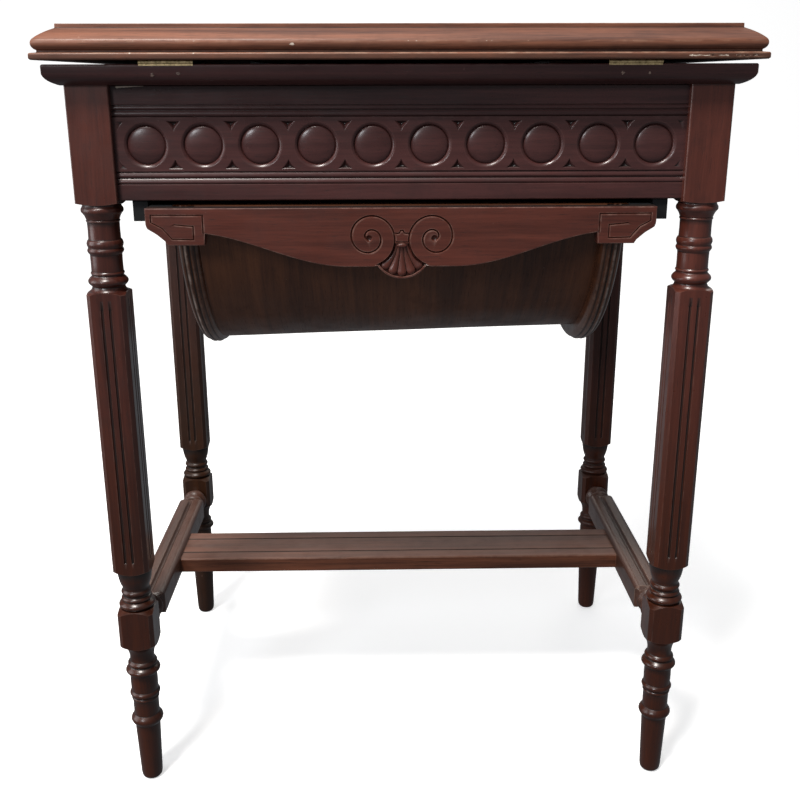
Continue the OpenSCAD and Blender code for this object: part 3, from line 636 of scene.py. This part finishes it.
def front_frieze():
    """The front board: domes in bowls, with a sunk triangle above and below each meeting of rings."""
    shape = Shape()
    stations = levels(-INNER_X, INNER_X, 12)

    def place(x, a, b):
        return (x, -(FRONT_Y - FRIEZE_T + a), frieze_low + b)

    shape.grid(swept(lower, stations, place), loop=False)
    shape.grid(swept(upper, stations, place), loop=False)
    inner = [(0, FRIEZE_TOP), (0, 64), (0, 32), (0, 0)]
    shape.grid(swept(inner, stations, place), loop=False)
    centres = [(i - (COUNT - 1) / 2) * PITCH for i in range(COUNT)]
    z0, z1 = FIELD[0] - MID, FIELD[1] - MID
    border = [(x, z0) for x in stations] + [(INNER_X, z) for z in (z0 / 2, 0, z1 / 2)]
    border += [(x, z1) for x in reversed(stations)] + [(-INNER_X, z) for z in (z1 / 2, 0, z0 / 2)]
    holes, hoops = [], []
    brim = GROOVE_R + 0.3
    for c in centres:
        holes.append(circle(c, 0, brim))
        hoops += [circle(c, 0, GROOVE_R + 1.1), circle(c, 0, 23, 48)]
    for c in [centres[0] - PITCH / 2] + [c + PITCH / 2 for c in centres]:
        for up in (1, -1):
            points = spandrel(c, up)
            if abs(c) > CARVED_X - 1:
                points = [(min(max(x, -CARVED_X), CARVED_X), z) for x, z in points]
                points = [p for i, p in enumerate(points) if p != points[i - 1]]
            holes.append(points)
            hoops.append([tuple(p) for p in offset(points, -0.9)])

    raised = np.array([0, frieze_low + MID])
    shape.panel([border] + holes + hoops, [], lambda p: upright(p + raised, -FRONT_Y), holes=holes)
    bowl = [(brim, 0), (GROOVE_R, 0.09), (GROOVE_R - 0.5, 0.34), (GROOVE_R - 1, 0.66),
            (GROOVE_R - 1.45, 1.0), (GROOVE_R - 1.85, 1.4), (GROOVE_R - 2.15, 1.95),
            (GROOVE_R - 2.35, 2.6), (DOME_R + 0.1, 3.0), (DOME_R - 0.15, 2.7)]
    bowl += [(max(r, 0.02), 3.0 - h) for r, h in arc(0, 0, DOME_R - 0.1, 3.1, 16, 90, 18)]
    for c in centres:
        shape.grid([upright(np.array(circle(c, 0, r)) + raised, -FRONT_Y + depth) for r, depth in bowl])
    for hole in holes[COUNT:]:
        edge = np.array(hole)
        up = np.sign(edge[:, 1].mean())
        low = np.array([(edge[:, 0].min() + edge[:, 0].max()) / 2, up * 17.2])
        depth = 3.0 if abs(low[0]) < CARVED_X - 10 else 1.0
        steps = ((0, 0), (0.05, 0.015), (0.12, 0.06), (0.22, 0.14), (0.34, 0.27), (0.6, 0.68),
                 (0.85, 0.96), (0.98, 1))
        shape.grid([upright(edge + (low - edge) * share + raised, -FRONT_Y + depth * sunk)
                    for share, sunk in steps])
    # Painted shade: the front frieze uses the darker, cooler copy of the red.
    skin = wood("frieze_front_wood", SHADED_RED, 0, seed=3.3, figure=0.9, rough=0.3, coat=0.35, wear=0.25)
    piece("frieze_front_carved", shape, "table", skin, ["frieze_front"])


front_frieze()


# ---------- cornice and lid ----------

cornice_low, cornice_high = box("cornice_front")
CORNICE_X, CORNICE_Y = cornice_high[0], -cornice_low[1]
CORNICE_Z = LEG_TOP
CORNICE_T = cornice_high[2] - CORNICE_Z
CORNICE_W = cornice_high[1] - cornice_low[1]

profile = ([(CORNICE_W, 0), (14, 0)] + bend((11, 0), (1.5, 3.2), (0, 9))
           + [(0, CORNICE_T - 0.9), (0.9, CORNICE_T), (CORNICE_W, CORNICE_T)])
profile = soften(refine(profile, 14), 0.5, 0.8, closed=True)


def cornice_board(name, half, out, place, axis):
    """One side of the cornice, mitred at both ends, whose last ring is drawn in to round the mitre."""
    shape = Shape()
    rows = []
    for t in levels(-1, 1, 0.04, (0.0006, 0.003)):
        edge, back = (0.25, 0.05) if abs(t) == 1 else (0.0, 0.0)
        row = []
        for inset, z in profile:
            along = t * (half - inset - 0.02) - math.copysign(back, t)
            up = min(max(z, edge), CORNICE_T - edge)
            row.append(place(along, out - inset - edge * (inset < 1), CORNICE_Z + up))
        rows.append(row)
    shape.grid(rows, caps=True)
    # Painted shade: the cornice uses the darker, cooler copy of the red.
    skin = wood(name + "_wood", SHADED_RED, axis, seed=rng.uniform(1, 9), rough=0.33, figure=0.7)
    piece(name + "_moulded", shape, "table", skin, [name])


cornice_board("cornice_front", CORNICE_X, CORNICE_Y, lambda u, v, z: (u, -v, z), 0)
cornice_board("cornice_back", CORNICE_X, CORNICE_Y, lambda u, v, z: (-u, v, z), 0)
cornice_board("cornice_left", CORNICE_Y, CORNICE_X, lambda u, v, z: (-v, -u, z), 1)
cornice_board("cornice_right", CORNICE_Y, CORNICE_X, lambda u, v, z: (v, u, z), 1)

lid_low, lid_high = box("lid")
LID_X, LID_Y, LID_Z = lid_high[0], lid_high[1], lid_low[2]
LID_T = lid_high[2] - lid_low[2]


def lid():
    """One profile run round the four sides, with the flat top and underside filled in."""
    section = [(30, 0), (1.2, 0), (0, 1.0), (0, 2.7), (0, 4.4), (0.7, 5.4), (5.4, 5.9)]
    section += arc(7.2, 12.6, 5.3, 5.3, 250, 126, 14)
    section += bend((4.2, 17.0), (9.0, 21.2), (17.6, 24.8))
    section += [(17.9, 25.0), (18.0, LID_T - 0.2), (18.6, LID_T), (30, LID_T)]
    section = soften(section, 0.45, 0.9)
    flat = 30.0                         # how far in from the edge the flat top begins
    # Nicks as place along the front, height, width and tallness. The flat part's points spread out
    # by about a tenth on their way to the front edge, so the ones added for the nicks lie nearer in.
    nicks = ((-88.3, 11.8, 2.6, 1.2), (-218, 5.0, 1.0, 0.7), (-167, 5.0, 1.0, 0.7))
    xs = set(np.linspace(-LID_X + flat, LID_X - flat, 128)) | set(np.arange(208.2, 262, 1.5))
    xs |= {at + d for at in (-80.6, -196.8, -150.8) for d in (-2.6, -1.7, -0.8, 0.1, 1.0, 1.9, 2.8)}
    xs = sorted(xs)
    ys = list(np.linspace(-LID_Y + flat, LID_Y - flat, 91))
    rows = []
    for inset, z in section:
        x, y = LID_X - inset, LID_Y - inset
        c = 0.9 * min(1, (flat - inset) / 6)
        kx, ky = (x - c) / (LID_X - flat), (y - c) / (LID_Y - flat)
        ring = []
        sides = [([(x, v * ky) for v in ys], 1, 1), ([(v * kx, y) for v in reversed(xs)], -1, 1),
                 ([(-x, v * ky) for v in reversed(ys)], -1, -1), ([(v * kx, -y) for v in xs], 1, -1)]
        for part, sx, sy in sides:
            ring += part + [((x - 0.3 * c) * sx, (y - 0.3 * c) * sy)]
        rows.append([(px, py, LID_Z + z) for px, py in ring])
    shape = Shape()
    shape.grid(rows)
    for z in (0, LID_T):
        shape.grid([[(x, y, LID_Z + z) for x in xs] for y in ys], loop=False)

    def touched(x, y, z):
        """Shallow chips along the lower fillet at the front right, and a slight wave in the top."""
        if y < -LID_Y + 0.5 and 2 < z - LID_Z < 3.5 and (232 < x < 265 or 270 < x < 289):
            y += min(0.7, max(0.0, ripple(x * 0.4, 3.1, 0.2) * 3))
        if z > LID_Z + LID_T - 0.1:
            z -= 0.15 + 0.15 * ripple(x * 0.004, y * 0.004, 0.7)
        return x, y, z

    shape.points = [touched(*point) for point in shape.points]

    def marks(co, values):
        """Chips on the fillet, nicks, a line of wear along the nose, and painted shade on the lower fillet,
        the underside and the underside of the nose.
        """
        x, y, z = co.T
        n = np.array([ripple(a * 0.09, b * 0.09, c * 0.35) for a, b, c in co])
        front = y < -LID_Y + 7
        up = z - LID_Z
        span = ((x > 232) & (x < 265)) | ((x > 270.5) & (x < 288.5))
        chip = front * span * (up < 5) * np.exp(-((up - 2.8) / 1.1) ** 2) * np.clip(0.56 + n * 0.3, 0, 0.7)
        for at, high, wide, tall in nicks:
            nick = np.exp(-((x - at) / wide) ** 2 - ((up - high) / tall) ** 2)
            chip = np.maximum(chip, front * nick * 0.95)
        nose = front * np.exp(-((up - 14) / 0.7) ** 2)
        chip = np.maximum(chip, nose * np.clip(0.36 + n * 0.3, 0, 0.5))
        edge = values["wear"]
        line = (np.abs(up - 5.2) < 0.8) & front
        edge = np.maximum(edge, line * np.clip(n * 2 + 0.8, 0, 1))
        edge = np.maximum(edge, nose * np.clip(n * 2 + 0.3, 0, 0.5))
        # Painted shade: the lower fillet, the underside and the underside of the nose are darkened all round
        # the lid.
        dull = np.where((up < 4.6) | ((up > 6) & (up < 9.8)), 0.5, 0.0)
        return {"chip": chip, "wear": edge, "grime": np.maximum(values["grime"], dull)}

    skin = wood("lid_wood", LID_WOOD, 0, seed=4.2, figure=1.5, rough=0.47, coat=0.1, dust_and_sheen=0.06)
    piece("lid_moulded", shape, "lid", skin, ["lid"], extra=marks)


lid()

# Filled holes on the cornice by the hinges, and a pale sliver on the frieze's top edge.
marks = Shape()
for x in (-202, -181, 181, 202):
    cx, cz, r = x + rng.uniform(-1, 1), CORNICE_Z + 8.5 + rng.uniform(-0.8, 0.8), rng.uniform(1.1, 1.8)
    ring = [(1 + rng.uniform(-0.35, 0.35)) * r for _ in range(14)]
    rows = []
    for share, lift in ((1, 0.3), (0.92, -0.1), (0.6, -0.25), (0.25, -0.2), (0.01, -0.18)):
        rows.append([(cx + share * q * math.cos(i * math.pi / 7), -CORNICE_Y + lift,
                      cz + share * q * math.sin(i * math.pi / 7)) for i, q in enumerate(ring)])
    marks.grid(rows)
sliver = (-237.5, -214.3)
rows = []
for i in range(25):
    x = sliver[0] + i * (sliver[1] - sliver[0]) / 24
    tall = 2.0 * (1 - i / 26) * (0.8 + 0.3 * rng.random())
    rows.append([(x, -FRONT_Y + dy, POST_H + frieze_low - 0.45 - tall * share)
                 for share, dy in ((0, 0.2), (0.1, -0.12), (0.5, -0.2), (0.9, -0.12), (1, 0.2))])
marks.grid(rows, loop=False)
skin = wood("filler", FILLER, 0, seed=2, coat=0.05, rough=0.6)
piece("cornice_marks", marks, "table", skin,
      extra=lambda co, values: {"chip": (co[:, 0] < sliver[1] + 4) * 0.9})


# ---------- stretchers ----------

stretch_low, stretch_high = box("side_stretcher_right")
STRETCH_W, STRETCH_H = 30.0, 25.0
STRETCH_Z = (stretch_low[2] + stretch_high[2]) / 2
SQUARE = 125.0                          # half the length of the part that isn't turned


def side_stretcher(name, sx):
    """A square stretcher with a rounded, grooved top and a turned end into each leg."""
    w, h = STRETCH_W / 2, STRETCH_H
    half = [(w, 0.8), (w, h - 5.2)] + arc(w / 2 + 1.1, h - 5, w / 2 - 1.1, 5, 8, 88, 12)
    half += [(3.0, h - 0.3), (2.2, h - 1.6), (1.0, h - 2.9), (0, h - 3.2)]
    section = soften([(0, 0), (w - 0.8, 0)] + half, 0.4, 0.7)
    section = section + [(-a, b) for a, b in reversed(section[1:-1])]

    def ring(y):
        """The ends are cut off at a slant all round, and the groove runs out before them."""
        left = SQUARE - abs(y)
        cut = max(0.0, 4.5 - left) * 0.9
        deep = min(1.0, max(0.0, left - 5) / 6)
        out = []
        for a, b in section:
            b = b if b < h - 6 or abs(a) > 3.2 else h - 0.3 - (h - 0.3 - b) * deep
            a = max(cut - w, min(w - cut, a))
            b = max(cut * 0.6, min(h - cut, b))
            out.append((sx * LEG_X + a, y, STRETCH_Z - h / 2 + b))
        return out

    ends = [SQUARE - d for d in (0, 0.4, 2, 4, 4.5, 5, 6.5, 8, 9.5, 11, 12.5)]
    ys = sorted(set([-e for e in ends] + ends + list(np.linspace(-SQUARE + 20, SQUARE - 20, 22))))
    shape = Shape()
    shape.grid([ring(y) for y in ys], caps=True)
    collar = soften([(0, 0), (12.2, 0)] + bead(1, 9, 12, 2.4, 14) + bead(10, 15, 11.2, -1.4, 8)
                    + bead(16, 24, 12, 2.4, 14) + [(12, 25), (10.5, 31.6), (0, 31.6)], 0.35, 0.6)
    for sy in (-1, 1):
        rows = [[(sx * LEG_X + max(r, 0.01) * math.cos(a), sy * (SQUARE - 1 + d),
                  STRETCH_Z + max(r, 0.01) * math.sin(a))
                 for a in np.linspace(0, 2 * math.pi, 65)[:-1]] for r, d in collar]
        shape.grid(rows)
    skin = wood(name + "_wood", SIDE_WOOD, 1, seed=rng.uniform(1, 9), dust_and_sheen=0.13, rough=0.36)
    piece(name + "_turned", shape, "table", skin, [name])


side_stretcher("side_stretcher_left", -1)
side_stretcher("side_stretcher_right", 1)

shelf_low, shelf_high = box("centre_stretcher")
SHELF_W = shelf_high[1] - shelf_low[1]
SHELF_X = LEG_X - STRETCH_W / 2
shelf_z, shelf_t = shelf_low[2], shelf_high[2] - shelf_low[2]
line_y = SHELF_W / 4
edge_y = SHELF_W / 2
half = [(0, 0), (edge_y / 2, 0), (edge_y - 1, 0), (edge_y, 1), (edge_y, shelf_t - 1.2),
        (edge_y - 1.2, shelf_t), (line_y + 1.0, shelf_t), (line_y, shelf_t - 1.7), (line_y - 1.0, shelf_t),
        (line_y / 2, shelf_t), (0, shelf_t)]
half = soften(half, 0.35, 0.7)
section = half + [(-a, b) for a, b in reversed(half[1:-1])]
shape = Shape()
shape.grid(swept(section, levels(-SHELF_X, SHELF_X, 10), lambda x, a, b: (x, a, shelf_z + b)), caps=True)
skin = wood("centre_stretcher_wood", SHELF_WOOD, 0, seed=6.1, figure=1.6, rough=0.5, coat=0.0,
            scratch=0.6, dust_and_sheen=0.3)


def sunk_lines(co, values):
    """Dirt in the two lines along the top."""
    near = np.abs(np.abs(co[:, 1]) - line_y) < 1.3
    return {"grime": np.maximum(values["grime"], near & (co[:, 2] > shelf_z + 2))}


piece("centre_stretcher_board", shape, "table", skin, ["centre_stretcher"], extra=sunk_lines)


# ---------- bin ----------

bin_low, bin_high = box("bin_side_right")
BIN_TOP, BIN_OUT, BIN_IN = bin_high[2], bin_high[0], bin_low[0]
BIN_Z = frieze_low + 20.8
BIN_R = BIN_Z - bin_low[2]


def bin_side(name, sx):
    """A round board cut off at the top, with four reeds run round its edge."""
    thick = BIN_OUT - BIN_IN
    reeds = []
    for k in range(4):
        for i in range(11):
            across = k + i / 10
            crown = 5.6 * abs(across / 2 - 1) ** 2.6
            reeds.append((BIN_R - 1.7 - crown + 1.7 * math.sin(math.pi * i / 10), across * thick / 4))
    board_r = BIN_R - 12
    edge = [(board_r, 0), (BIN_R - 8, 0)] + reeds + [(BIN_R - 8, thick), (board_r, thick)]
    edge = soften(edge, 0.3, 0.8)
    low = math.asin((BIN_TOP - BIN_Z) / BIN_R)
    angles = np.linspace(-math.pi - low, low, 181)
    shape = Shape()
    rows = []
    for a in angles:
        rows.append([(sx * (BIN_IN + d), r * math.cos(a), min(BIN_Z + r * math.sin(a), BIN_TOP))
                     for r, d in edge])
    shape.grid(rows, loop=False)
    rim = [(board_r * math.cos(a), min(BIN_Z + board_r * math.sin(a), BIN_TOP)) for a in angles]
    for d in (0, thick):
        shape.grid([[(sx * (BIN_IN + d), y, z + (BIN_TOP - z) * k / 12) for y, z in rim]
                    for k in range(13)], loop=False)
    top = [[(sx * (BIN_IN + d), y, BIN_TOP) for y in np.linspace(-BIN_R + 2, BIN_R - 2, 40)]
           for d in (0, thick)]
    shape.grid(top, loop=False)
    skin = wood(name + "_wood", BIN_WOOD, 1, seed=rng.uniform(1, 9), rough=0.3, coat=0.2, wear=1.2)

    def wear_and_painted_light(co, values):
        """Edge wear kept faint, and painted highlights on the front half of the rim: a streak along the
        second reed from the outside, and thin lines along every reed.
        """
        across = (BIN_OUT - np.abs(co[:, 0])) * 4 / thick
        # Painted highlight: a pale streak on the second reed and thin pale lines on each reed's crest.
        streak = np.exp(-((across - 1.3) / 0.24) ** 2) + 0.2 * np.exp(-((across % 1 - 0.5) / 0.12) ** 2)
        rim = (np.hypot(co[:, 1], co[:, 2] - BIN_Z) > BIN_R - 7) & (co[:, 1] < 0)
        return {"wear": np.maximum(values["wear"] * 0.4, rim * np.minimum(streak, 1))}

    piece(name + "_reeded", shape, "bin", skin, [name], extra=wear_and_painted_light)


bin_side("bin_side_left", -1)
bin_side("bin_side_right", 1)


def bin_sheet():
    """The bent board: part of a cone, because it has sagged at its left end."""
    high = box("bin_sheet")[1]
    half, top = high[0], high[2]
    left, right, thick = 180.5, 170.5, 5.0
    shape = Shape()

    def ring(x, drop):
        """The sheet's curve at one station, drop below its outer face."""
        r = left + (right - left) * (x + half) / (2 * half) - drop
        edge = math.asin(min(0.0, (top - BIN_Z)) / r)
        out = []
        for a in np.linspace(-math.pi - edge, edge, 121):
            wave = 0.35 * ripple(x * 0.012, a * 2.2, 0.4)
            out.append((x, (r + wave) * math.cos(a), BIN_Z + (r + wave) * math.sin(a)))
        return out

    xs = levels(-half + 3.6, half - 3.6, 9)
    outer, inner = [ring(x, 0) for x in xs], [ring(x, thick) for x in xs]
    shape.grid([o + list(reversed(i)) for o, i in zip(outer, inner)], caps=True)

    def grain(co, values):
        """Places in the flat sheet, in metres, so that the grain bends with it."""
        x, y, z = co.T
        around = np.arctan2(y, BIN_Z - z) * 176
        return {"grain": np.stack([x, around, np.hypot(y, z - BIN_Z)], 1) * MM}

    skin = wood("bin_sheet_wood", BIN_WOOD, 1, seed=5.3, grain="grain", figure=1.2, rough=0.46,
                coat=0.12, scratch=0.3)
    piece("bin_sheet_bent", shape, "bin", skin, ["bin_sheet"], extra=grain)


bin_sheet()


# ---------- apron ----------

apron_low, apron_high = box("bin_apron")
APRON_X, APRON_TOP = apron_high[0], apron_high[2]
APRON_FACE = apron_low[1]
VOLUTE_X, VOLUTE_Z = 27.7, APRON_TOP - 25.7
SHELL_Z = APRON_TOP - 35.5


def spiral(sx, start=-72, stop=596, step=6):
    """A volute's line from the shell's tip into its eye."""
    points = []
    for turn in range(start, stop, step):
        r = 24 - 0.0335 * (turn + 72)
        a = math.radians(turn)
        points.append((-VOLUTE_X + r * math.cos(a), VOLUTE_Z + r * math.sin(a)))
    return [(-sx * x, z) for x, z in points]


def apron_outline():
    """The board's outline: the shell's rim, a wave, and a stepped bracket at each end."""
    top = APRON_TOP
    shell = [(25.5 * math.sin(math.radians(a)), SHELL_Z - 25.5 * math.cos(math.radians(a)))
             for a in range(0, 59, 4)]
    wave = []
    for i in range(25):
        x = 25 + 143 * i / 24
        t = max(0.0, (x - 45) / 140)
        wave.append((x, top - 50.5 + 30 * (1 - math.cos(math.pi * t)) / 2))
    end = [(168.8, top - 31.4), (200, top - 31.3), (202, top - 28), (209, top - 22),
           (213.5, top - 19.2), (216.8, top - 17.1), (217.8, top - 14.5), (APRON_X, top - 12.5),
           (APRON_X, top)]
    right = shell + wave + end
    outline = right + [(-x, z) for x, z in reversed(right[1:])]
    return [tuple(p) for p in refine(outline, 3.5, closed=True)]


def key_line(sx):
    """The sunk line on the bracket at one end of the apron, which turns inwards."""
    x0, z0 = APRON_X - 48.6, APRON_TOP
    steps = [(0, -21), (0, -5.9), (43.8, -5.7), (43.8, -11.9), (34.7, -16.7), (26.8, -26),
             (8.3, -26.5), (8.3, -15.3), (24.2, -13.8)]
    return [(sx * (x0 + x), z0 + z) for x, z in steps]


def apron():
    """The carved board: sunk lines in its face, and a pocket for the shell between the volutes."""
    outline = apron_outline()
    left_edge = [(-abs(x), z) for x, z in spiral(1, -72, -10, 4) if z < VOLUTE_Z - 4.4]
    lip = [(24 * math.sin(math.radians(a)), SHELL_Z - 24 * math.cos(math.radians(a)))
           for a in range(-56, 57, 4)]
    pocket = lip + [(-x, z) for x, z in left_edge] + left_edge[::-1]
    area = sum(a[0] * b[1] - b[0] * a[1] for a, b in zip(pocket, pocket[1:] + pocket[:1]))
    pocket = pocket if area > 0 else pocket[::-1]

    grooves = [(spiral(sx), 0.95, 1.7) for sx in (-1, 1)]
    grooves += [(refine(key_line(sx), 3), 0.7, 1.2) for sx in (-1, 1)]
    bar = [(-6.4, VOLUTE_Z + 3.7), (-2.2, VOLUTE_Z + 3.9), (-1.0, VOLUTE_Z + 6.2), (1.0, VOLUTE_Z + 6.2),
           (2.2, VOLUTE_Z + 3.9), (6.4, VOLUTE_Z + 3.7)]
    grooves += [(bar, 0.8, 1.5), ([(-6.4, VOLUTE_Z - 3.7), (6.4, VOLUTE_Z - 3.7)], 0.8, 1.5)]
    eyes = [(sx * (VOLUTE_X + 0.4), VOLUTE_Z - 0.6) for sx in (-1, 1)]

    def sink(points):
        """How deep the lines and the volutes' eyes are cut at each point of the face."""
        depth = np.zeros(len(points))
        for line, half, deep in grooves:
            depth = np.maximum(depth, deep * (1 - distance(points, line) / half))
        for eye in eyes:
            r = np.linalg.norm(points - np.array(eye), axis=1)
            depth = np.maximum(depth, 2.6 * (1 - (r / 3.1) ** 2))
        return np.maximum(depth, 0)

    def on_face(points):
        return upright(points, APRON_FACE + sink(points))

    def walls(rows, edge, steps):
        """Carries rows on down along the edge, moved in by each step, and fills the last one."""
        rows += [upright(offset(edge, inset), APRON_FACE + depth) for inset, depth in steps]
        shape.grid(rows)
        shape.panel([rows[-1][:, [0, 2]]], [], lambda p: upright(p, APRON_FACE + steps[-1][1]))

    inner = [tuple(p) for p in offset(outline, 1.0)]
    lines = []
    for line, half, deep in grooves:
        fine = refine(line, 2.0)
        lines.append([tuple(p) for p in fine])
        for d in (-half - 1, -half - 0.5, -half, -half * 0.45, half * 0.45, half, half + 0.5, half + 1):
            lines.append([tuple(p) for p in beside(fine, d)])
    loops = [inner, pocket]
    for eye in eyes:
        loops += [circle(*eye, r, 28) for r in (3.1, 2.3, 1.4, 0.5)]
    spots = [(x + 2.5 * (k % 2), z) for k, z in enumerate(np.arange(APRON_TOP - 60, APRON_TOP, 5))
             for x in np.arange(-215, 216, 5)]
    spots = [p for p, good in zip(spots, inside(np.array(spots), inner)) if good]
    shape = Shape()
    shape.panel(loops, lines, on_face, spots, holes=[pocket])
    walls([on_face(np.array(inner))], outline, ((0.45, 0.03), (0.12, 0.22), (0, 0.6), (0, 1.6), (0, 8),
                                                (0, 14.6), (0.3, 15.7), (0.6, 16)))
    walls([], pocket, ((0, 0), (0.15, 0.2), (0.3, 3.6)))

    def wear_and_painted_light(co, values):
        """Wear on the edges, painted highlights along the right and lower sides of the sunk lines, where
        their walls face the light, and painted shade on the top face.
        """
        flat = co[:, [0, 2]]
        # Painted highlight: points whose upper left neighbour lies in a sunk line, on the wall that faces the
        # light.
        beyond = sink(flat + np.array([-0.7, 0.7])) - 1.2 * sink(flat)
        apart = np.min([distance(flat, line) - half for line, half, _ in grooves], axis=0)
        near = (co[:, 1] < APRON_FACE + 0.5) & (apart < 0.65)
        # Painted shade: the top face behind the front is darkened and kept free of wear.
        top = (co[:, 2] > APRON_TOP - 0.3) & (co[:, 1] > APRON_FACE + 1.2)
        return {"wear": np.maximum(values["wear"], near * np.clip(beyond * 2, 0, 1)) * ~top,
                "grime": np.maximum(values["grime"], top)}

    skin = wood("bin_apron_wood", RED, 0, seed=8.4, figure=1.1, rough=0.36, wear=1.0)
    piece("bin_apron_carved", shape, "bin", skin, ["bin_apron"], extra=wear_and_painted_light)


apron()


def apron_shell():
    """Five lobes that spread down from a small oval, hollow in the middle, with rounded ends."""
    lobes, steps = 5, 60
    rows = []
    for k in range(27):
        t = k / 24                      # 0 by the oval, 1 at the rim, then down over the lobes' ends
        row = []
        for i in range(steps + 1):
            s = -1 + 2 * i / steps
            lobe = abs(math.cos(math.pi * lobes * s / 2))
            reach = min(t, 1.0) * (0.93 + 0.05 * lobe ** 0.5)
            a = math.radians(57 * s)
            top = np.array([5.6 * s, VOLUTE_Z - 5.2])
            control = np.array([7.6 * s, SHELL_Z - 6.5])
            rim = np.array([24.2 * math.sin(a), SHELL_Z - 24.2 * math.cos(a)])
            p = (1 - reach) ** 2 * top + 2 * reach * (1 - reach) * control + reach ** 2 * rim
            body = 0.9 - 7.2 * min(t, 1) * (0.97 - min(t, 1)) - 1.3 * abs(s) ** 2.5 * (1 - 0.5 * t)
            height = body + (0.5 + 1.5 * t) * (lobe ** 0.6 - 0.6)
            if t > 0.94:
                height -= (t - 0.94) * 42 * (1.1 - 0.4 * lobe)
            height = max(height, -2.65)
            row.append((p[0], APRON_FACE + 0.9 - height, p[1]))
        rows.append(row)
    shape = Shape()
    shape.grid(rows, loop=False)
    dot = []
    for share, lift in ((1, 1.0), (0.95, -0.4), (0.7, -0.9), (0.3, -1.1), (0.02, -1.15)):
        dot.append([(4.2 * share * math.cos(a), APRON_FACE + lift, VOLUTE_Z - 6.6 + 1.9 * share * math.sin(a))
                    for a in np.linspace(0, 2 * math.pi, 33)[:-1]])
    shape.grid(dot)
    skin = wood("apron_shell_wood", RED, 2, seed=2.7, figure=0.5, wear=1.2)
    piece("bin_apron_shell", shape, "bin", skin, angle=60)


apron_shell()


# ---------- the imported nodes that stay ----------

PLAIN = {
    "dark_wood": ("runner_left", "runner_right", "bin_hanger_left", "bin_hanger_right"),
    "inner_wood": ("glue_blocks", "compartment_floor", "divider_long", "divider_left", "divider_right"),
    "bin_wood": ("bin_front_rail", "bin_back_rail"),
    "lid_wood": ("lid_batten_left", "lid_batten_right"),
    "brass": ("hinge_left_lower_leaf", "hinge_right_lower_leaf", "hinge_left_upper_leaf",
              "hinge_right_upper_leaf", "hinge_left_pin", "hinge_right_pin"),
    "steel": ("runner_screws", "hinge_lower_screws", "hinge_upper_screws", "lid_batten_screws",
              "bin_apron_screws", "bin_side_screws", "bin_hanger_screws"),
}
SKINS = {
    "dark_wood": wood("near_black_wood", NEAR_BLACK, 1, coat=0.0, rough=0.7),
    "inner_wood": wood("pine", PINE, 0, coat=0.0, rough=0.6),
    "bin_wood": wood("bin_rail_wood", BIN_WOOD, 0),
    "lid_wood": wood("batten_wood", LID_WOOD, 1),
    "brass": metal("brass", (0.78, 0.60, 0.32, 1), (0.36, 0.27, 0.14, 1), 0.34),
    "steel": metal("steel", (0.42, 0.40, 0.38, 1), (0.16, 0.13, 0.11, 1), 0.35),
}
for slot_name, names in PLAIN.items():
    for node_name in names:
        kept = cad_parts[node_name]
        kept.data.materials.clear()
        kept.data.materials.append(SKINS[slot_name])
        small = slot_name in ("brass", "steel")
        rounded = kept.modifiers.new("edges", "BEVEL")
        rounded.width = (0.12 if small else 0.6) * MM
        rounded.segments = 2
        rounded.limit_method = "ANGLE"
        rounded.angle_limit = math.radians(50)
        rounded.harden_normals = False


# ---------- floor, light and camera ----------

floor_mesh = bpy.data.meshes.new("studio_floor")
bm = bmesh.new()
sweep = [(-6, 0)] + [(2.6 + 1.4 * math.sin(a), 1.4 - 1.4 * math.cos(a))
                     for a in np.linspace(0, math.pi / 2, 16)] + [(4, 6)]
across = np.linspace(-7, 7, 9)
grid = [[bm.verts.new((x, y, z)) for x in across] for y, z in sweep]
for r0, r1 in zip(grid, grid[1:]):
    for i in range(len(across) - 1):
        bm.faces.new((r0[i], r0[i + 1], r1[i + 1], r1[i])).smooth = True
bm.to_mesh(floor_mesh)
bm.free()
floor_mesh.materials.append(studio_white())
floor = add("studio_floor", floor_mesh)
floor.visible_diffuse = False
floor.visible_glossy = False

world = bpy.data.worlds.new("studio")
world.use_nodes = True
world.node_tree.nodes["Background"].inputs[0].default_value = (0.90, 0.94, 1.0, 1)
world.node_tree.nodes["Background"].inputs[1].default_value = 0.19
bpy.context.scene.world = world


def lamp(name, place, aim, size, power, colour=(1, 1, 1)):
    data = bpy.data.lights.new(name, "AREA")
    data.shape = "RECTANGLE"
    data.size, data.size_y = size
    data.energy = power
    data.color = colour
    made = add(name, data)
    made.location = place
    made.rotation_mode = "QUATERNION"
    made.rotation_quaternion = (Vector(aim) - Vector(place)).to_track_quat("-Z", "Y")


lamp("key", (-0.9, -1.6, 3.7), (0, 0, 0.6), (0.8, 0.7), 142, (1.0, 0.96, 0.91))
lamp("side", (-1.6, -2.8, 1.9), (0, 0, 0.5), (0.7, 0.7), 32, (0.92, 0.96, 1.0))
lamp("window", (-2.5, -0.5, 1.0), (0, -0.1, 0.5), (1.5, 2.0), 26, (0.98, 0.98, 1.0))
lamp("top", (0.2, 0.3, 3.2), (0, 0, 0.7), (2.4, 1.6), 14)
lamp("back", (0.5, 2.3, 1.9), (0, 0.6, 0.3), (3.0, 1.0), 14, (1.0, 0.94, 0.86))

data = bpy.data.cameras.new("camera")
data.lens, data.sensor_width = 45.55, 36
data.clip_start = 0.02
camera = add("camera", data)
ahead = Vector((0.018303, 0.95316, -0.30191)).normalized()
across = ahead.cross(Vector((0.0079, 0.30185, 0.95333))).normalized()
up = across.cross(ahead)
camera.matrix_world = Matrix((
    (across.x, up.x, -ahead.x, -0.01865),
    (across.y, up.y, -ahead.y, -1.06912),
    (across.z, up.z, -ahead.z, 0.69220),
    (0, 0, 0, 1)))
bpy.context.scene.camera = camera
bpy.context.scene.view_settings.view_transform = "Standard"
